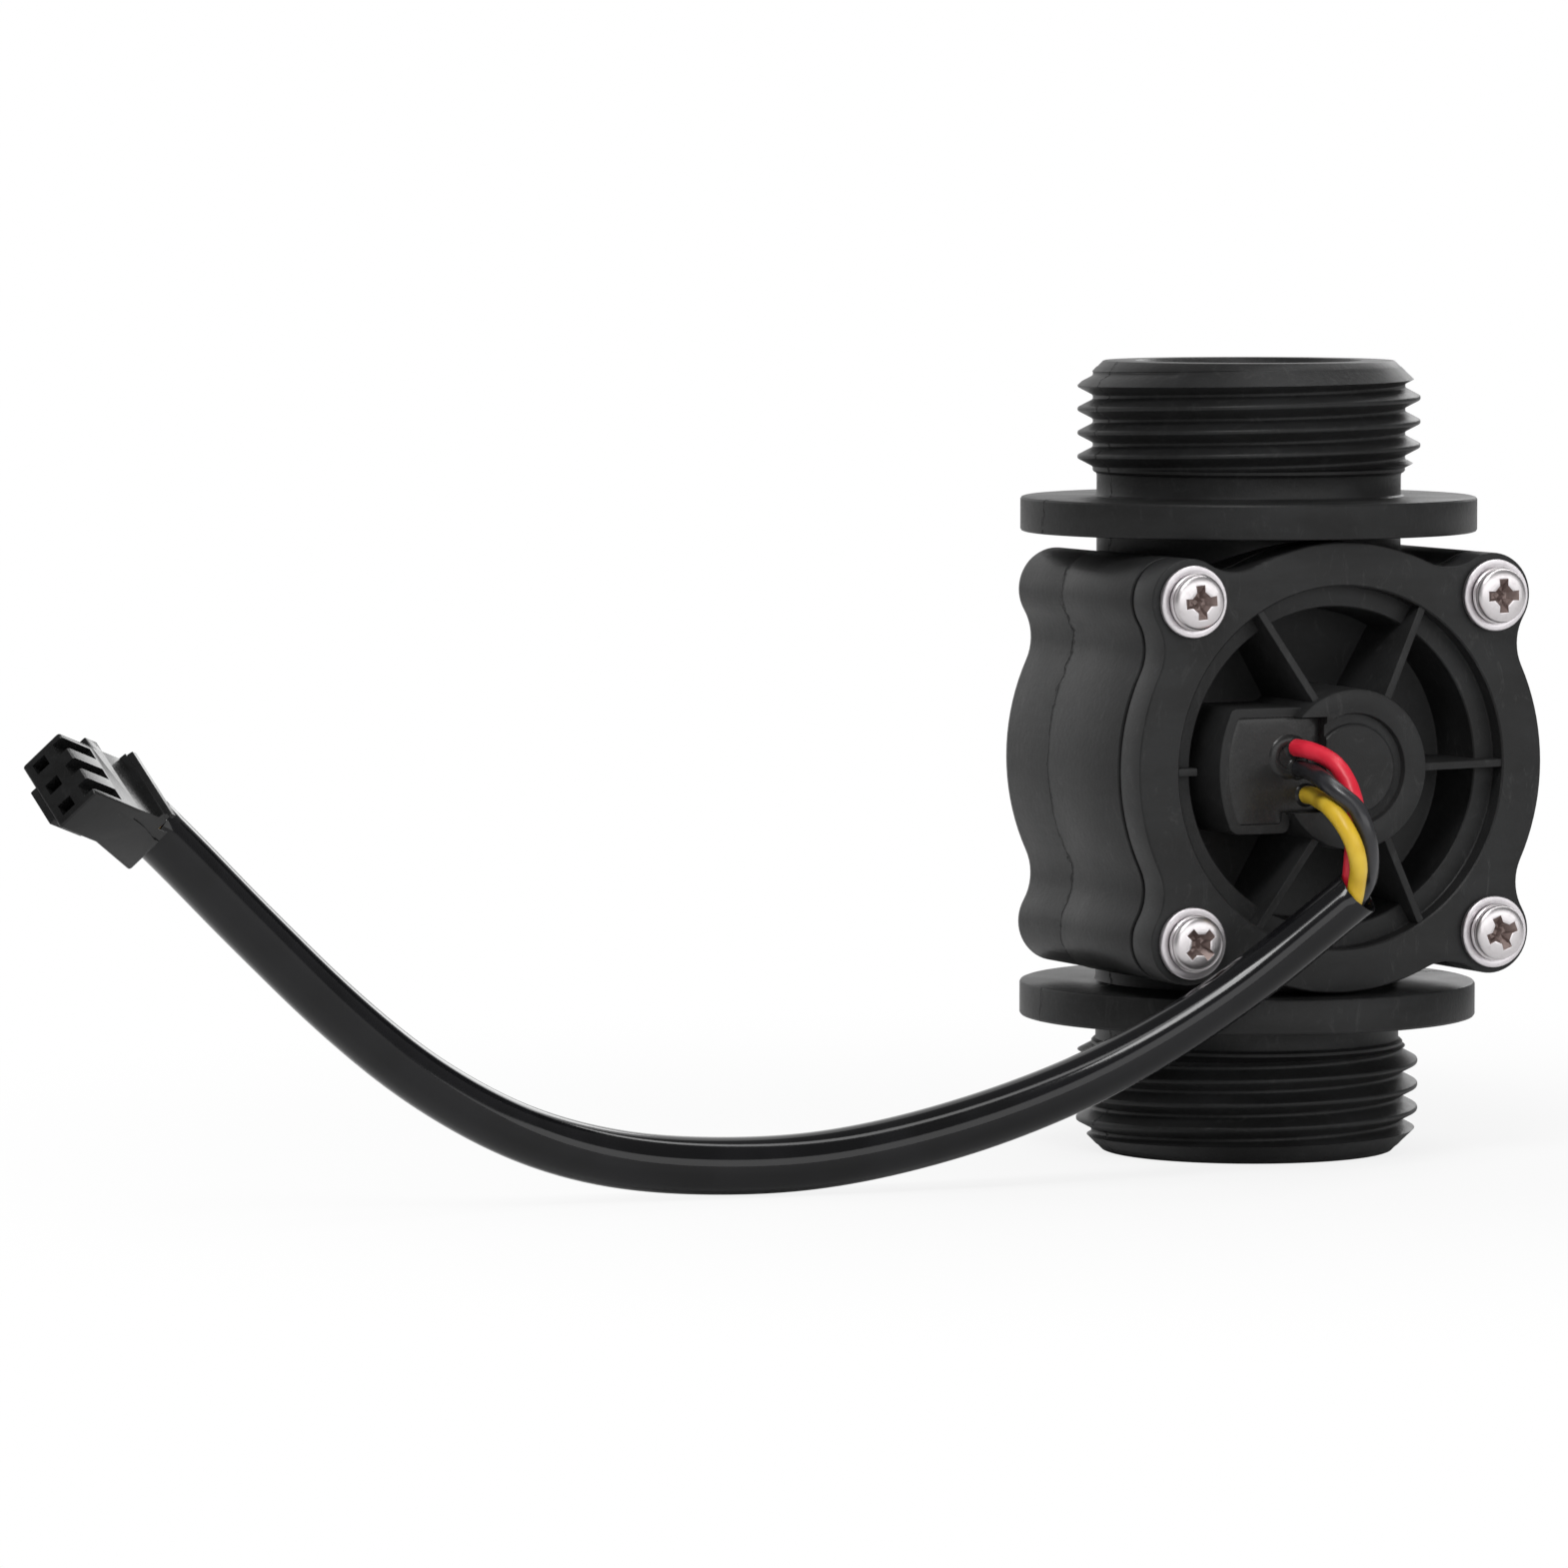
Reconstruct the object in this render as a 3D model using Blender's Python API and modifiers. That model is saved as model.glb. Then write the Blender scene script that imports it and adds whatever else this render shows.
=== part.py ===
"""A water flow sensor: threaded pipe body, impeller, Hall-effect pickup under potting, three-wire lead.

Sizes are millimetres and angles degrees until MM and math.radians turn them into Blender's units.
The body stands on its inlet end, +Z is the way the water flows and the cover faces -Y.
A size named ..._FRONT is a distance from the pipe's axis towards the cover, so it lies at -Y.
"""

import math

import bmesh
import bpy
from mathutils import Euler, Matrix, Vector

MM = 0.001
PIPE_SIDES = 32
FACE_SIDES = 48
SMALL_SIDES = 20

# Clearances
GAP = 0.3
SEAT_GAP = 0.2
PIN_GAP = 0.06
POTTING_GAP = 0.15

# Pipe: two threaded ends, two flanges
PIPE_HEIGHT = 76.8
BORE_RADIUS = 10.5
NECK_RADIUS = 14.75
END_FACE_RADIUS = 14.14
THREAD_RADIUS = 16.62
THREAD_PITCH = 2.309
THREAD_DEPTH = 1.479
THREAD_LENGTH = 10.6
THREAD_CREST = 0.385
THREAD_BURIED = 0.3
THREAD_OVER = 0.2
THREAD_LAND = 0.06
THREAD_UNDERCUT = 0.5
THREAD_FADE = 1.0
THREAD_FLANK = 27.5
THREAD_ANGLE = 155.8
LOWER_CREST = 3.0
UPPER_CREST_DROP = 2.41
FLANGE_RADIUS = 22.15
FLANGE_THICKNESS = 3.4
FLANGE_EDGE = 0.35
FLANGE_SPACING = 43.7

# Case: a round box across the pipe, with an ear for each screw
EAR_RADIUS = 4.05
FILLET_RADIUS = 5.0
SCREW_OFFSET = 16.18
CHAMBER_RADIUS = 15.2
CHAMBER_BACK = 7.5
BACK_WALL = 2.35
NOZZLE_RADIUS = 6.5
NOZZLE_OFFSET = 3.6
NOZZLE_WALL = 6.2
OUTLET_REACH = 10.0

# Cover: a plate with a deep round cup behind it
COVER_FRONT = 19.8
COVER_THICKNESS = 4.2
PLUG_RADIUS = 16.6
PLUG_LENGTH = 7.1
RECESS_RADIUS = 17.35
LEDGE_DEPTH = 2.0
LEDGE_RADIUS = 15.3
CUP_RADIUS = 14.9
CUP_FLOOR = 2.7
HUB_RADIUS = 7.7
HUB_RISE = 2.6
DIMPLE_RADIUS = 5.5
DIMPLE_DEPTH = 0.4
NUB_RADIUS = 3.2
RIB_THICKNESS = 0.75
RIB_ANGLES = (0, 60, 120, 240, 300)
RIB_RIM_DROP = 0.3
RIB_HUB_RISE = 2.0
RIB_IN_HUB = 0.9
RIB_IN_RIM = 0.35
RIB_IN_LEDGE = 0.3
RIB_IN_FLOOR = 0.5
STUB_ROOT = 0.4
HUB_EDGE = 0.2
HUB_IN_FLOOR = 0.8
SEAL_LAND = 0.7
SEAL_WIDTH = 2.0
SEAL_DEPTH = 1.5
SEAL_SECTION = 0.6

# Pocket for the electronics, cast full of potting
POCKET_RADIUS = 13.6
POCKET_HEIGHT = 6.0
POCKET_WALL = 0.9
POCKET_RISE = 1.0
POCKET_FLOOR = 1.5
POCKET_INSIDE = 3.0
POCKET_STEP = 4.0
POCKET_CORNER = 6.1
POCKET_FILLET = 1.0
POCKET_IN_HUB = 1.4
POCKET_IN_FLOOR = 0.6
BOARD_REACH = 11.2
BOARD_HEIGHT = 4.6
BOARD_THICKNESS = 1.0
HALL_SIZE = (4.0, 3.0, 1.0)
HALL_SHIFT = 1.0
CHIP_THICKNESS = 0.6
CHIP_INSET = 0.8
RESISTOR_SIZE = (1.6, 0.8)
RESISTOR_HEIGHT = 2.6
CAPACITOR_SIZE = (1.2, 2.0)
CAPACITOR_HEIGHT = -1.6
POTTING_DOME = 0.4
POTTING_FRONT = 20.9
POTTING_STEPS = ((0.45, 0.7), (0.9, 0.3))

# Shaft and turning wheel
PIN_RADIUS = 1.0
PIN_EDGE = 0.2
PIN_SEAT = 2.1
FRONT_SEAT = 3.4
BOSS_RADIUS = 3.2
BOSS_HEIGHT = 1.2
SPACER_THICKNESS = 0.6
SPACER_RADIUS = 2.6
WHEEL_HUB_RADIUS = 4.6
WHEEL_RADIUS = 13.6
WHEEL_WEB_RADIUS = 9.0
WHEEL_WEB = 1.2
BLADE_COUNT = 8
BLADE_THICKNESS = 1.1
BLADE_SWEEP = 16.0
BLADE_INSET = 0.5
BLADE_ROOT = 0.4
BLADE_STEPS = 5
MAGNET_INNER = 5.3
MAGNET_OUTER = 8.2
MAGNET_THICKNESS = 3.0
BUSH_WALL = 1.09

# Screws and their washers
SCREW_RADIUS = 1.45
SCREW_LENGTH = 12.8
SCREW_BOTTOM = 1.0
SCREW_TIP = 0.8
HEAD_RADIUS = 2.8
HEAD_HEIGHT = 1.5
HEAD_CROWN = (0.9, 0.25, 0.35)
CROSS_SPAN = 3.4
CROSS_WIDTH = 0.85
CROSS_DEPTH = 1.0
CROSS_STEP = 0.02
WASHER_RADIUS = 3.5
WASHER_THICKNESS = 0.6
SCREW_TURNS = {"top_left": -8, "top_right": 10, "lower_left": 42, "lower_right": 22}

# Lead: three wires that share a sleeve, from the potting to the connector
WIRE_RADIUS = 0.8
WIRE_LANE = 1.15
WIRE_STEP = 1.5
WIRE_BURIED = 3.0
SLEEVE_RADIUS = 2.7
SLEEVE_WALL = 0.5
SLEEVE_STEP = 5.0
CURVE_STEPS = 12
SLEEVE_ROUTE = (
    (-3.35, -30.4, 26.8), (-5.8, -26.9, 23.7), (-10.7, -25.2, 20.4), (-16.1, -25.2, 17.2),
    (-21.2, -24.3, 14.1), (-28.3, -22.9, 10.3), (-37.0, -21.4, 6.9), (-44.8, -20.0, 4.7),
    (-50.7, -18.8, 3.5), (-55.3, -17.9, 2.9), (-60.1, -17.2, 2.75), (-65.4, -16.6, 2.9),
    (-71.1, -16.4, 3.4), (-75.9, -16.6, 4.3), (-80.2, -17.0, 5.5), (-85.9, -17.8, 7.7),
    (-93.1, -19.2, 11.6), (-98.0, -20.2, 14.9), (-105.3, -22.0, 20.7), (-110.2, -23.3, 25.1),
    (-115.1, -24.8, 29.4), (-120.1, -26.3, 34.1), (-122.9, -27.2, 36.5),
)
# Each wire: where it leaves the potting (across and up from the shaft), its lane, contact and free loop
WIRES = {
    "wire_red": {
        "exit": (-5.64, 2.17), "lane": 120, "contact": 1, "colour": (0.75, 0.03, 0.05),
        "loop": ((-5.35, -23.0, 40.45), (-4.8, -25.3, 40.0), (-4.25, -27.3, 39.2), (-3.85, -28.7, 38.0),
                 (-3.7, -29.9, 36.8), (-3.9, -30.8, 35.2), (-4.3, -31.2, 33.4), (-4.6, -31.2, 31.4),
                 (-4.4, -31.0, 29.5)),
    },
    "wire_black": {
        "exit": (-5.31, 0.16), "lane": -120, "contact": 0, "colour": (0.015, 0.015, 0.017),
        "loop": ((-5.6, -24.3, 38.4), (-6.1, -29.0, 37.65), (-5.7, -31.5, 36.65), (-5.0, -33.2, 35.05),
                 (-4.2, -33.8, 33.75), (-3.6, -33.8, 32.3), (-2.9, -33.3, 30.5), (-2.3, -32.0, 28.6)),
    },
    "wire_yellow": {
        "exit": (-4.79, -2.37), "lane": 0, "contact": -1, "colour": (0.7, 0.5, 0.03),
        "loop": ((-5.0, -22.8, 36.0), (-5.65, -26.0, 35.8), (-6.0, -29.6, 35.1), (-6.0, -32.1, 33.9),
                 (-5.6, -33.5, 32.3), (-5.2, -34.0, 30.6), (-4.7, -33.5, 28.9)),
    },
}

# Connector: +X runs from its mating face to the wires, +Z is its slotted top
CONNECTOR_PLACE = (-134.67, -34.0, 41.99)
CONNECTOR_TURN = (45.0, 17.0, 33.3)
CONNECTOR_LENGTH = 12.5
CONNECTOR_WIDTH = 7.5
CONNECTOR_TOP = 2.33
CONNECTOR_TAIL_DROP = 3.76
CONNECTOR_RAMP = 5.6
CONNECTOR_WALL = 0.5
CONTACT_PITCH = 2.5
CONTACT_DROP = 0.66
CAVITY_WIDTH = 1.95
MOUTH_WIDTH = 1.1
MOUTH_HEIGHT = 1.5
SLOT_WIDTH = 1.3
SLOT_LENGTH = 4.4
SLOT_DEPTH = 1.1
TAIL_ROOM = 3.5
LIP_START = 9.4
LIP_RISE = 1.0
LIP_LENGTH = 1.9
LIP_OVERHANG = 0.25
LIP_ROOT = 0.4
LIP_LEAN = (0.5, 0.3)
KEY_START = 4.1
KEY_LENGTH = 1.9
KEY_WIDTH = 1.1
KEY_DROP = 1.1
KEEL_LOW = (0.2, -2.6)
KEEL_HIGH = (5.0, 1.3)
KEEL_DROP = 0.7
TERMINAL_START = 2.4
TERMINAL_LENGTH = 4.6
TERMINAL_WIDTH = 1.35
TERMINAL_WALL = 0.2
TERMINAL_CLOSED = 0.6
CRIMP_HEIGHT = 0.1

# Worked out from the sizes above
MIDDLE = PIPE_HEIGHT / 2
THREAD_ROOT = THREAD_RADIUS - THREAD_DEPTH
FLANGE_INNER = FLANGE_SPACING / 2
FLANGE_OUTER = FLANGE_INNER + FLANGE_THICKNESS
CASE_RADIUS = FLANGE_INNER - GAP
COVER_BACK = COVER_FRONT - COVER_THICKNESS
CASE_FRONT = COVER_BACK - GAP
PLUG_END = COVER_BACK - PLUG_LENGTH
CASE_BACK = -CHAMBER_BACK - BACK_WALL
SEAT_RADIUS = PLUG_RADIUS + GAP
SEAL_INNER = SEAT_RADIUS + SEAL_LAND
LEDGE_FRONT = COVER_FRONT - LEDGE_DEPTH
CUP_FRONT = PLUG_END + CUP_FLOOR
HUB_FRONT = COVER_FRONT + HUB_RISE
POCKET_FRONT = COVER_FRONT + POCKET_RISE
POCKET_BASE = PLUG_END + POCKET_FLOOR
HALL_BASE = POCKET_BASE + GAP
BOARD_BASE = HALL_BASE + HALL_SIZE[2] + GAP
BOARD_FRONT = BOARD_BASE + BOARD_THICKNESS
CHIP_BASE = BOARD_FRONT + GAP
POTTING_BASE = CHIP_BASE + CHIP_THICKNESS + GAP
BOSS_BACK = BOSS_HEIGHT - CHAMBER_BACK
BOSS_FRONT = PLUG_END - BOSS_HEIGHT
HUB_BACK = BOSS_BACK + SPACER_THICKNESS + 2 * GAP
HUB_END = BOSS_FRONT - SPACER_THICKNESS - 2 * GAP
BLADE_BACK = HUB_BACK + BLADE_INSET
BLADE_FRONT = HUB_END - BLADE_INSET
MAGNET_BASE = BLADE_FRONT - GAP - MAGNET_THICKNESS
PIN_HOLE = PIN_RADIUS + PIN_GAP
BUSH_RADIUS = PIN_HOLE + BUSH_WALL
SCREW_HOLE = SCREW_RADIUS + GAP
HEAD_BASE = COVER_FRONT + WASHER_THICKNESS + 2 * SEAT_GAP

# Front frame: X across, Y up from the shaft, Z out of the cover
FRONT = Matrix.Translation((0, 0, MIDDLE * MM)) @ Matrix.Rotation(math.radians(90), 4, "X")
PLUG = Matrix.Translation(Vector(CONNECTOR_PLACE) * MM) @ Euler(
    [math.radians(turn) for turn in CONNECTOR_TURN]
).to_matrix().to_4x4()
WORLD = Matrix()


def clear_scene():
    for old in list(bpy.data.objects):
        bpy.data.objects.remove(old)


def new_collection(name, hidden=False):
    made = bpy.data.collections.new(name)
    bpy.context.scene.collection.children.link(made)
    made.hide_render = hidden
    return made


clear_scene()
PARTS = new_collection("water_flow_sensor")
CUTTERS = new_collection("cutters", hidden=True)


def add_object(name, data, frame, helper):
    """A new object in the frame given, among the parts or, as a helper, among the cutters."""
    made = bpy.data.objects.new(name, data)
    made.matrix_world = frame
    (CUTTERS if helper else PARTS).objects.link(made)
    if helper:
        made.hide_render = True
        made.display_type = "WIRE"
    return made


def turned(name, profile, frame=WORLD, sides=FACE_SIDES, ring=False, helper=False):
    """A profile of (radius, height) points, outer side from top to bottom, turned about Z."""
    shape = bmesh.new()
    points = [shape.verts.new((radius * MM, 0, height * MM)) for radius, height in profile]
    for start, end in zip(points, points[1:] + points[:1] if ring else points[1:]):
        shape.edges.new((start, end))
    mesh = bpy.data.meshes.new(name)
    shape.to_mesh(mesh)
    shape.free()
    made = add_object(name, mesh, frame, helper)
    screw = made.modifiers.new("turn", "SCREW")
    screw.axis = "Z"
    screw.steps = screw.render_steps = sides
    screw.use_merge_vertices = True
    screw.merge_threshold = 0.000001
    return made


def ring(name, inner, outer, low, high, frame=FRONT, sides=FACE_SIDES, helper=False):
    section = [(inner, high), (outer, high), (outer, low), (inner, low)]
    return turned(name, section, frame, sides, ring=True, helper=helper)


def rod(name, radius, low, high, place=(0, 0), frame=FRONT, sides=FACE_SIDES, helper=False):
    shape = bmesh.new()
    bmesh.ops.create_cone(
        shape, cap_ends=True, segments=sides, radius1=radius * MM, radius2=radius * MM,
        depth=(high - low) * MM,
    )
    bmesh.ops.translate(
        shape, verts=shape.verts, vec=Vector((place[0], place[1], (low + high) / 2)) * MM
    )
    return from_shape(name, shape, frame, helper)


def block(name, low, high, frame=FRONT, helper=False):
    """A box between two opposite corners."""
    low, high = Vector(low), Vector(high)
    shape = bmesh.new()
    bmesh.ops.create_cube(shape, size=1)
    bmesh.ops.scale(shape, verts=shape.verts, vec=(high - low) * MM)
    bmesh.ops.translate(shape, verts=shape.verts, vec=(low + high) / 2 * MM)
    return from_shape(name, shape, frame, helper)


def from_shape(name, shape, frame, helper):
    mesh = bpy.data.meshes.new(name)
    shape.to_mesh(mesh)
    shape.free()
    return add_object(name, mesh, frame, helper)


def mesh_from_curve(source, helper):
    """The curve's evaluated mesh as an object of its own, its caps welded to its sides."""
    bpy.context.view_layer.update()
    graph = bpy.context.evaluated_depsgraph_get()
    mesh = bpy.data.meshes.new_from_object(source.evaluated_get(graph))
    shape = bmesh.new()
    shape.from_mesh(mesh)
    bmesh.ops.remove_doubles(shape, verts=shape.verts, dist=0.000001)
    bmesh.ops.recalc_face_normals(shape, faces=shape.faces)
    shape.to_mesh(mesh)
    shape.free()
    name, frame = source.name, source.matrix_world.copy()
    bpy.data.objects.remove(source)
    return add_object(name, mesh, frame, helper)


def slab(name, outline, low, high, frame=FRONT, helper=False):
    """A flat outline of (across, up) points with a thickness, from height low to height high."""
    curve = bpy.data.curves.new(name, "CURVE")
    curve.dimensions = "2D"
    curve.fill_mode = "BOTH"
    curve.extrude = (high - low) / 2 * MM
    spline = curve.splines.new("POLY")
    spline.points.add(len(outline) - 1)
    for point, (across, up) in zip(spline.points, outline):
        point.co = (across * MM, up * MM, 0, 1)
    spline.use_cyclic_u = True
    middle = Matrix.Translation((0, 0, (low + high) / 2 * MM))
    return mesh_from_curve(add_object(name, curve, frame @ middle, helper), helper)


def tube_curve(name, points, radius, resolution, caps=True):
    """A curve with a round section through world points in millimetres."""
    curve = bpy.data.curves.new(name, "CURVE")
    curve.dimensions = "3D"
    curve.bevel_depth = radius * MM
    curve.bevel_resolution = resolution
    curve.use_fill_caps = caps
    spline = curve.splines.new("POLY")
    spline.points.add(len(points) - 1)
    for point, place in zip(spline.points, points):
        point.co = (*(Vector(place) * MM), 1)
    spline.use_smooth = True
    return add_object(name, curve, WORLD, False)


def boolean(target, operation, others, solver="EXACT"):
    for other in others:
        change = target.modifiers.new(other.name, "BOOLEAN")
        change.operation = operation
        change.solver = solver
        change.object = other
    return target


def join(target, *others, solver="EXACT"):
    return boolean(target, "UNION", others, solver)


def cut(target, *others, solver="EXACT"):
    return boolean(target, "DIFFERENCE", others, solver)


def keep_inside(target, *others, solver="EXACT"):
    return boolean(target, "INTERSECT", others, solver)


def polar(radius, angle):
    return radius * math.cos(math.radians(angle)), radius * math.sin(math.radians(angle))


def arc(centre, radius, start, end, steps):
    angles = [start + (end - start) * step / steps for step in range(steps + 1)]
    return [(centre[0] + polar(radius, a)[0], centre[1] + polar(radius, a)[1]) for a in angles]


def opposite_angle(side_a, side_b, opposite):
    """The angle between two sides of a triangle, from its three lengths."""
    cosine = (side_a**2 + side_b**2 - opposite**2) / (2 * side_a * side_b)
    return math.degrees(math.acos(cosine))


def case_outline():
    """The round case, with an ear at each screw and a hollow fillet on both sides of the ear."""
    ear_distance = math.hypot(SCREW_OFFSET, SCREW_OFFSET)
    fillet_distance = CASE_RADIUS + FILLET_RADIUS
    reach = EAR_RADIUS + FILLET_RADIUS
    spread = opposite_angle(ear_distance, fillet_distance, reach)
    half_sweep = 180 - opposite_angle(ear_distance, reach, fillet_distance)
    points = []
    for ear_angle in (45, 135, 225, 315):
        ear = polar(ear_distance, ear_angle)
        before = polar(fillet_distance, ear_angle - spread)
        after = polar(fillet_distance, ear_angle + spread)
        points += arc((0, 0), CASE_RADIUS, ear_angle - 90 + spread, ear_angle - spread, 9)
        inward = ear_angle - spread + 180
        points += arc(before, FILLET_RADIUS, inward, ear_angle - half_sweep + 180, 5)[1:-1]
        points += arc(ear, EAR_RADIUS, ear_angle - half_sweep, ear_angle + half_sweep, 12)
        inward = ear_angle + spread + 180
        points += arc(after, FILLET_RADIUS, ear_angle + half_sweep + 180, inward, 5)[1:-1]
    return points


def screw_places():
    return {
        "top_left": (-SCREW_OFFSET, SCREW_OFFSET),
        "top_right": (SCREW_OFFSET, SCREW_OFFSET),
        "lower_left": (-SCREW_OFFSET, -SCREW_OFFSET),
        "lower_right": (SCREW_OFFSET, -SCREW_OFFSET),
    }


def thread_ridge(name, low, high, crest):
    """A helical ridge past both ends of the stretch given, with a crest at the height given."""
    slope = math.tan(math.radians(THREAD_FLANK))
    half_crest = THREAD_CREST / 2
    foot = half_crest + (THREAD_DEPTH + THREAD_BURIED) * slope
    tip = max(half_crest - THREAD_OVER * slope, half_crest / 4)
    section = (
        (THREAD_ROOT - THREAD_BURIED, -foot), (THREAD_RADIUS + THREAD_OVER, -tip),
        (THREAD_RADIUS + THREAD_OVER, tip), (THREAD_ROOT - THREAD_BURIED, foot),
    )
    start = crest - THREAD_PITCH * math.ceil((crest - low) / THREAD_PITCH + 1)
    turns = math.ceil((high - start) / THREAD_PITCH + 1)
    shape = bmesh.new()
    corners = [shape.verts.new((radius * MM, 0, (start + up) * MM)) for radius, up in section]
    face = shape.faces.new(corners)
    spun = Matrix.Rotation(math.radians(THREAD_ANGLE), 3, "Z")
    bmesh.ops.rotate(shape, verts=shape.verts, cent=(0, 0, 0), matrix=spun)
    bmesh.ops.spin(
        shape, geom=[face], cent=(0, 0, 0), axis=(0, 0, 1), angle=2 * math.pi * turns,
        steps=PIPE_SIDES * turns, dvec=(0, 0, THREAD_PITCH / PIPE_SIDES * MM),
    )
    bmesh.ops.recalc_face_normals(shape, faces=shape.faces)
    return from_shape(name, shape, WORLD, True)


def thread_room(name, flip):
    """The space that a thread fills at one pipe end: a chamfered start and a short run-out."""
    start = THREAD_RADIUS - END_FACE_RADIUS
    low = THREAD_ROOT + THREAD_LAND - END_FACE_RADIUS
    lower_end = [
        (0, THREAD_LENGTH), (THREAD_ROOT - THREAD_UNDERCUT, THREAD_LENGTH),
        (THREAD_RADIUS, THREAD_LENGTH - THREAD_FADE), (THREAD_RADIUS, start),
        (THREAD_ROOT + THREAD_LAND, low), (0, low),
    ]
    if not flip:
        return turned(name, lower_end, sides=PIPE_SIDES, helper=True)
    upper_end = [(radius, PIPE_HEIGHT - up) for radius, up in reversed(lower_end)]
    return turned(name, upper_end, sides=PIPE_SIDES, helper=True)


def pipe_profile():
    chamfer = THREAD_ROOT - END_FACE_RADIUS
    upper = [
        (END_FACE_RADIUS, MIDDLE), (THREAD_ROOT, MIDDLE - chamfer),
        (THREAD_ROOT, MIDDLE - THREAD_LENGTH), (NECK_RADIUS, MIDDLE - THREAD_LENGTH),
        (NECK_RADIUS, FLANGE_OUTER), (FLANGE_RADIUS - FLANGE_EDGE, FLANGE_OUTER),
        (FLANGE_RADIUS, FLANGE_OUTER - FLANGE_EDGE), (FLANGE_RADIUS, FLANGE_INNER + FLANGE_EDGE),
        (FLANGE_RADIUS - FLANGE_EDGE, FLANGE_INNER), (NECK_RADIUS, FLANGE_INNER),
    ]
    lower = [(radius, -up) for radius, up in reversed(upper)]
    points = [(0, MIDDLE)] + upper + lower + [(0, -MIDDLE)]
    return [(radius, MIDDLE + up) for radius, up in points]


def make_housing():
    housing = turned("housing", pipe_profile(), sides=PIPE_SIDES)
    lower = thread_ridge("lower_thread", 0, THREAD_LENGTH, LOWER_CREST)
    upper_start = PIPE_HEIGHT - THREAD_LENGTH
    upper = thread_ridge("upper_thread", upper_start, PIPE_HEIGHT, PIPE_HEIGHT - UPPER_CREST_DROP)
    keep_inside(lower, thread_room("lower_thread_room", False), solver="MANIFOLD")
    keep_inside(upper, thread_room("upper_thread_room", True), solver="MANIFOLD")
    case = slab("case", case_outline(), CASE_BACK, CASE_FRONT, helper=True)
    join(housing, lower, upper, case, solver="MANIFOLD")
    past = CASE_FRONT + 1
    chamber = turned(
        "chamber",
        [(0, past), (SEAT_RADIUS, past), (SEAT_RADIUS, PLUG_END - GAP),
         (CHAMBER_RADIUS, PLUG_END - GAP), (CHAMBER_RADIUS, -CHAMBER_BACK),
         (BOSS_RADIUS, -CHAMBER_BACK), (BOSS_RADIUS, BOSS_BACK), (0, BOSS_BACK)],
        FRONT, PIPE_SIDES, helper=True,
    )
    inlet_end = MIDDLE - CHAMBER_RADIUS - NOZZLE_WALL
    outlet_start = MIDDLE + OUTLET_REACH
    inlet = rod("inlet_bore", BORE_RADIUS, -1, inlet_end, (0, 0), WORLD, PIPE_SIDES, True)
    outlet = rod(
        "outlet_bore", BORE_RADIUS, outlet_start, PIPE_HEIGHT + 1, (0, 0), WORLD, PIPE_SIDES, True,
    )
    nozzle = rod(
        "nozzle_hole", NOZZLE_RADIUS, inlet_end - 1, MIDDLE - OUTLET_REACH, (NOZZLE_OFFSET, 0),
        WORLD, PIPE_SIDES, True,
    )
    seal = ring(
        "seal_groove", SEAL_INNER, SEAL_INNER + SEAL_WIDTH, CASE_FRONT - SEAL_DEPTH, past,
        sides=PIPE_SIDES, helper=True,
    )
    pin_hole = rod(
        "pin_hole_back", PIN_HOLE, BOSS_BACK - PIN_SEAT - PIN_GAP, BOSS_BACK + 1,
        sides=SMALL_SIDES, helper=True,
    )
    cut(housing, chamber, inlet, outlet, nozzle, seal, pin_hole, solver="MANIFOLD")
    screw_end = HEAD_BASE - SCREW_LENGTH
    for place, (across, up) in screw_places().items():
        cut(housing, rod(
            "case_hole_" + place, SCREW_HOLE, screw_end - SCREW_BOTTOM, past, (across, up),
            sides=SMALL_SIDES, helper=True,
        ), solver="MANIFOLD")
    return housing


def rib_outline():
    """A rib seen from its side: from inside the hub to inside the rim, falling towards the rim."""
    inner = HUB_RADIUS - RIB_IN_HUB
    outer = RECESS_RADIUS + RIB_IN_RIM
    step = LEDGE_RADIUS + RIB_IN_LEDGE
    hub_top = COVER_FRONT + RIB_HUB_RISE
    rim_top = COVER_FRONT - RIB_RIM_DROP
    low = CUP_FRONT - RIB_IN_FLOOR
    over = LEDGE_FRONT - RIB_IN_LEDGE
    return [
        (inner, low), (step, low), (step, over), (outer, over),
        (outer, rim_top), (HUB_RADIUS - RIB_IN_LEDGE, hub_top), (inner, hub_top),
    ]


def make_rib(angle):
    """A rib stands across the cup, so its outline lies in a plane through the shaft."""
    stand = Matrix.Rotation(math.radians(angle), 4, "Z") @ Matrix.Rotation(math.radians(90), 4, "X")
    half = RIB_THICKNESS / 2
    return slab(f"rib_{angle}", rib_outline(), -half, half, FRONT @ stand, True)


def pocket_outline(radius, height, inside, corner, step, fillet):
    """The pocket's round left end and its stepped right end, seen from the front."""
    start = 180 - math.degrees(math.asin(height / radius))
    end = 180 + math.degrees(math.asin(height / radius))
    foot = (-corner - fillet, -height + fillet)
    return (
        arc((0, 0), radius, start, end, 12)
        + (arc(foot, fillet, -90, 0, 4) if fillet else [(-corner, -height)])
        + [(-corner, -step), (-inside, -step), (-inside, height)]
    )


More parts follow.
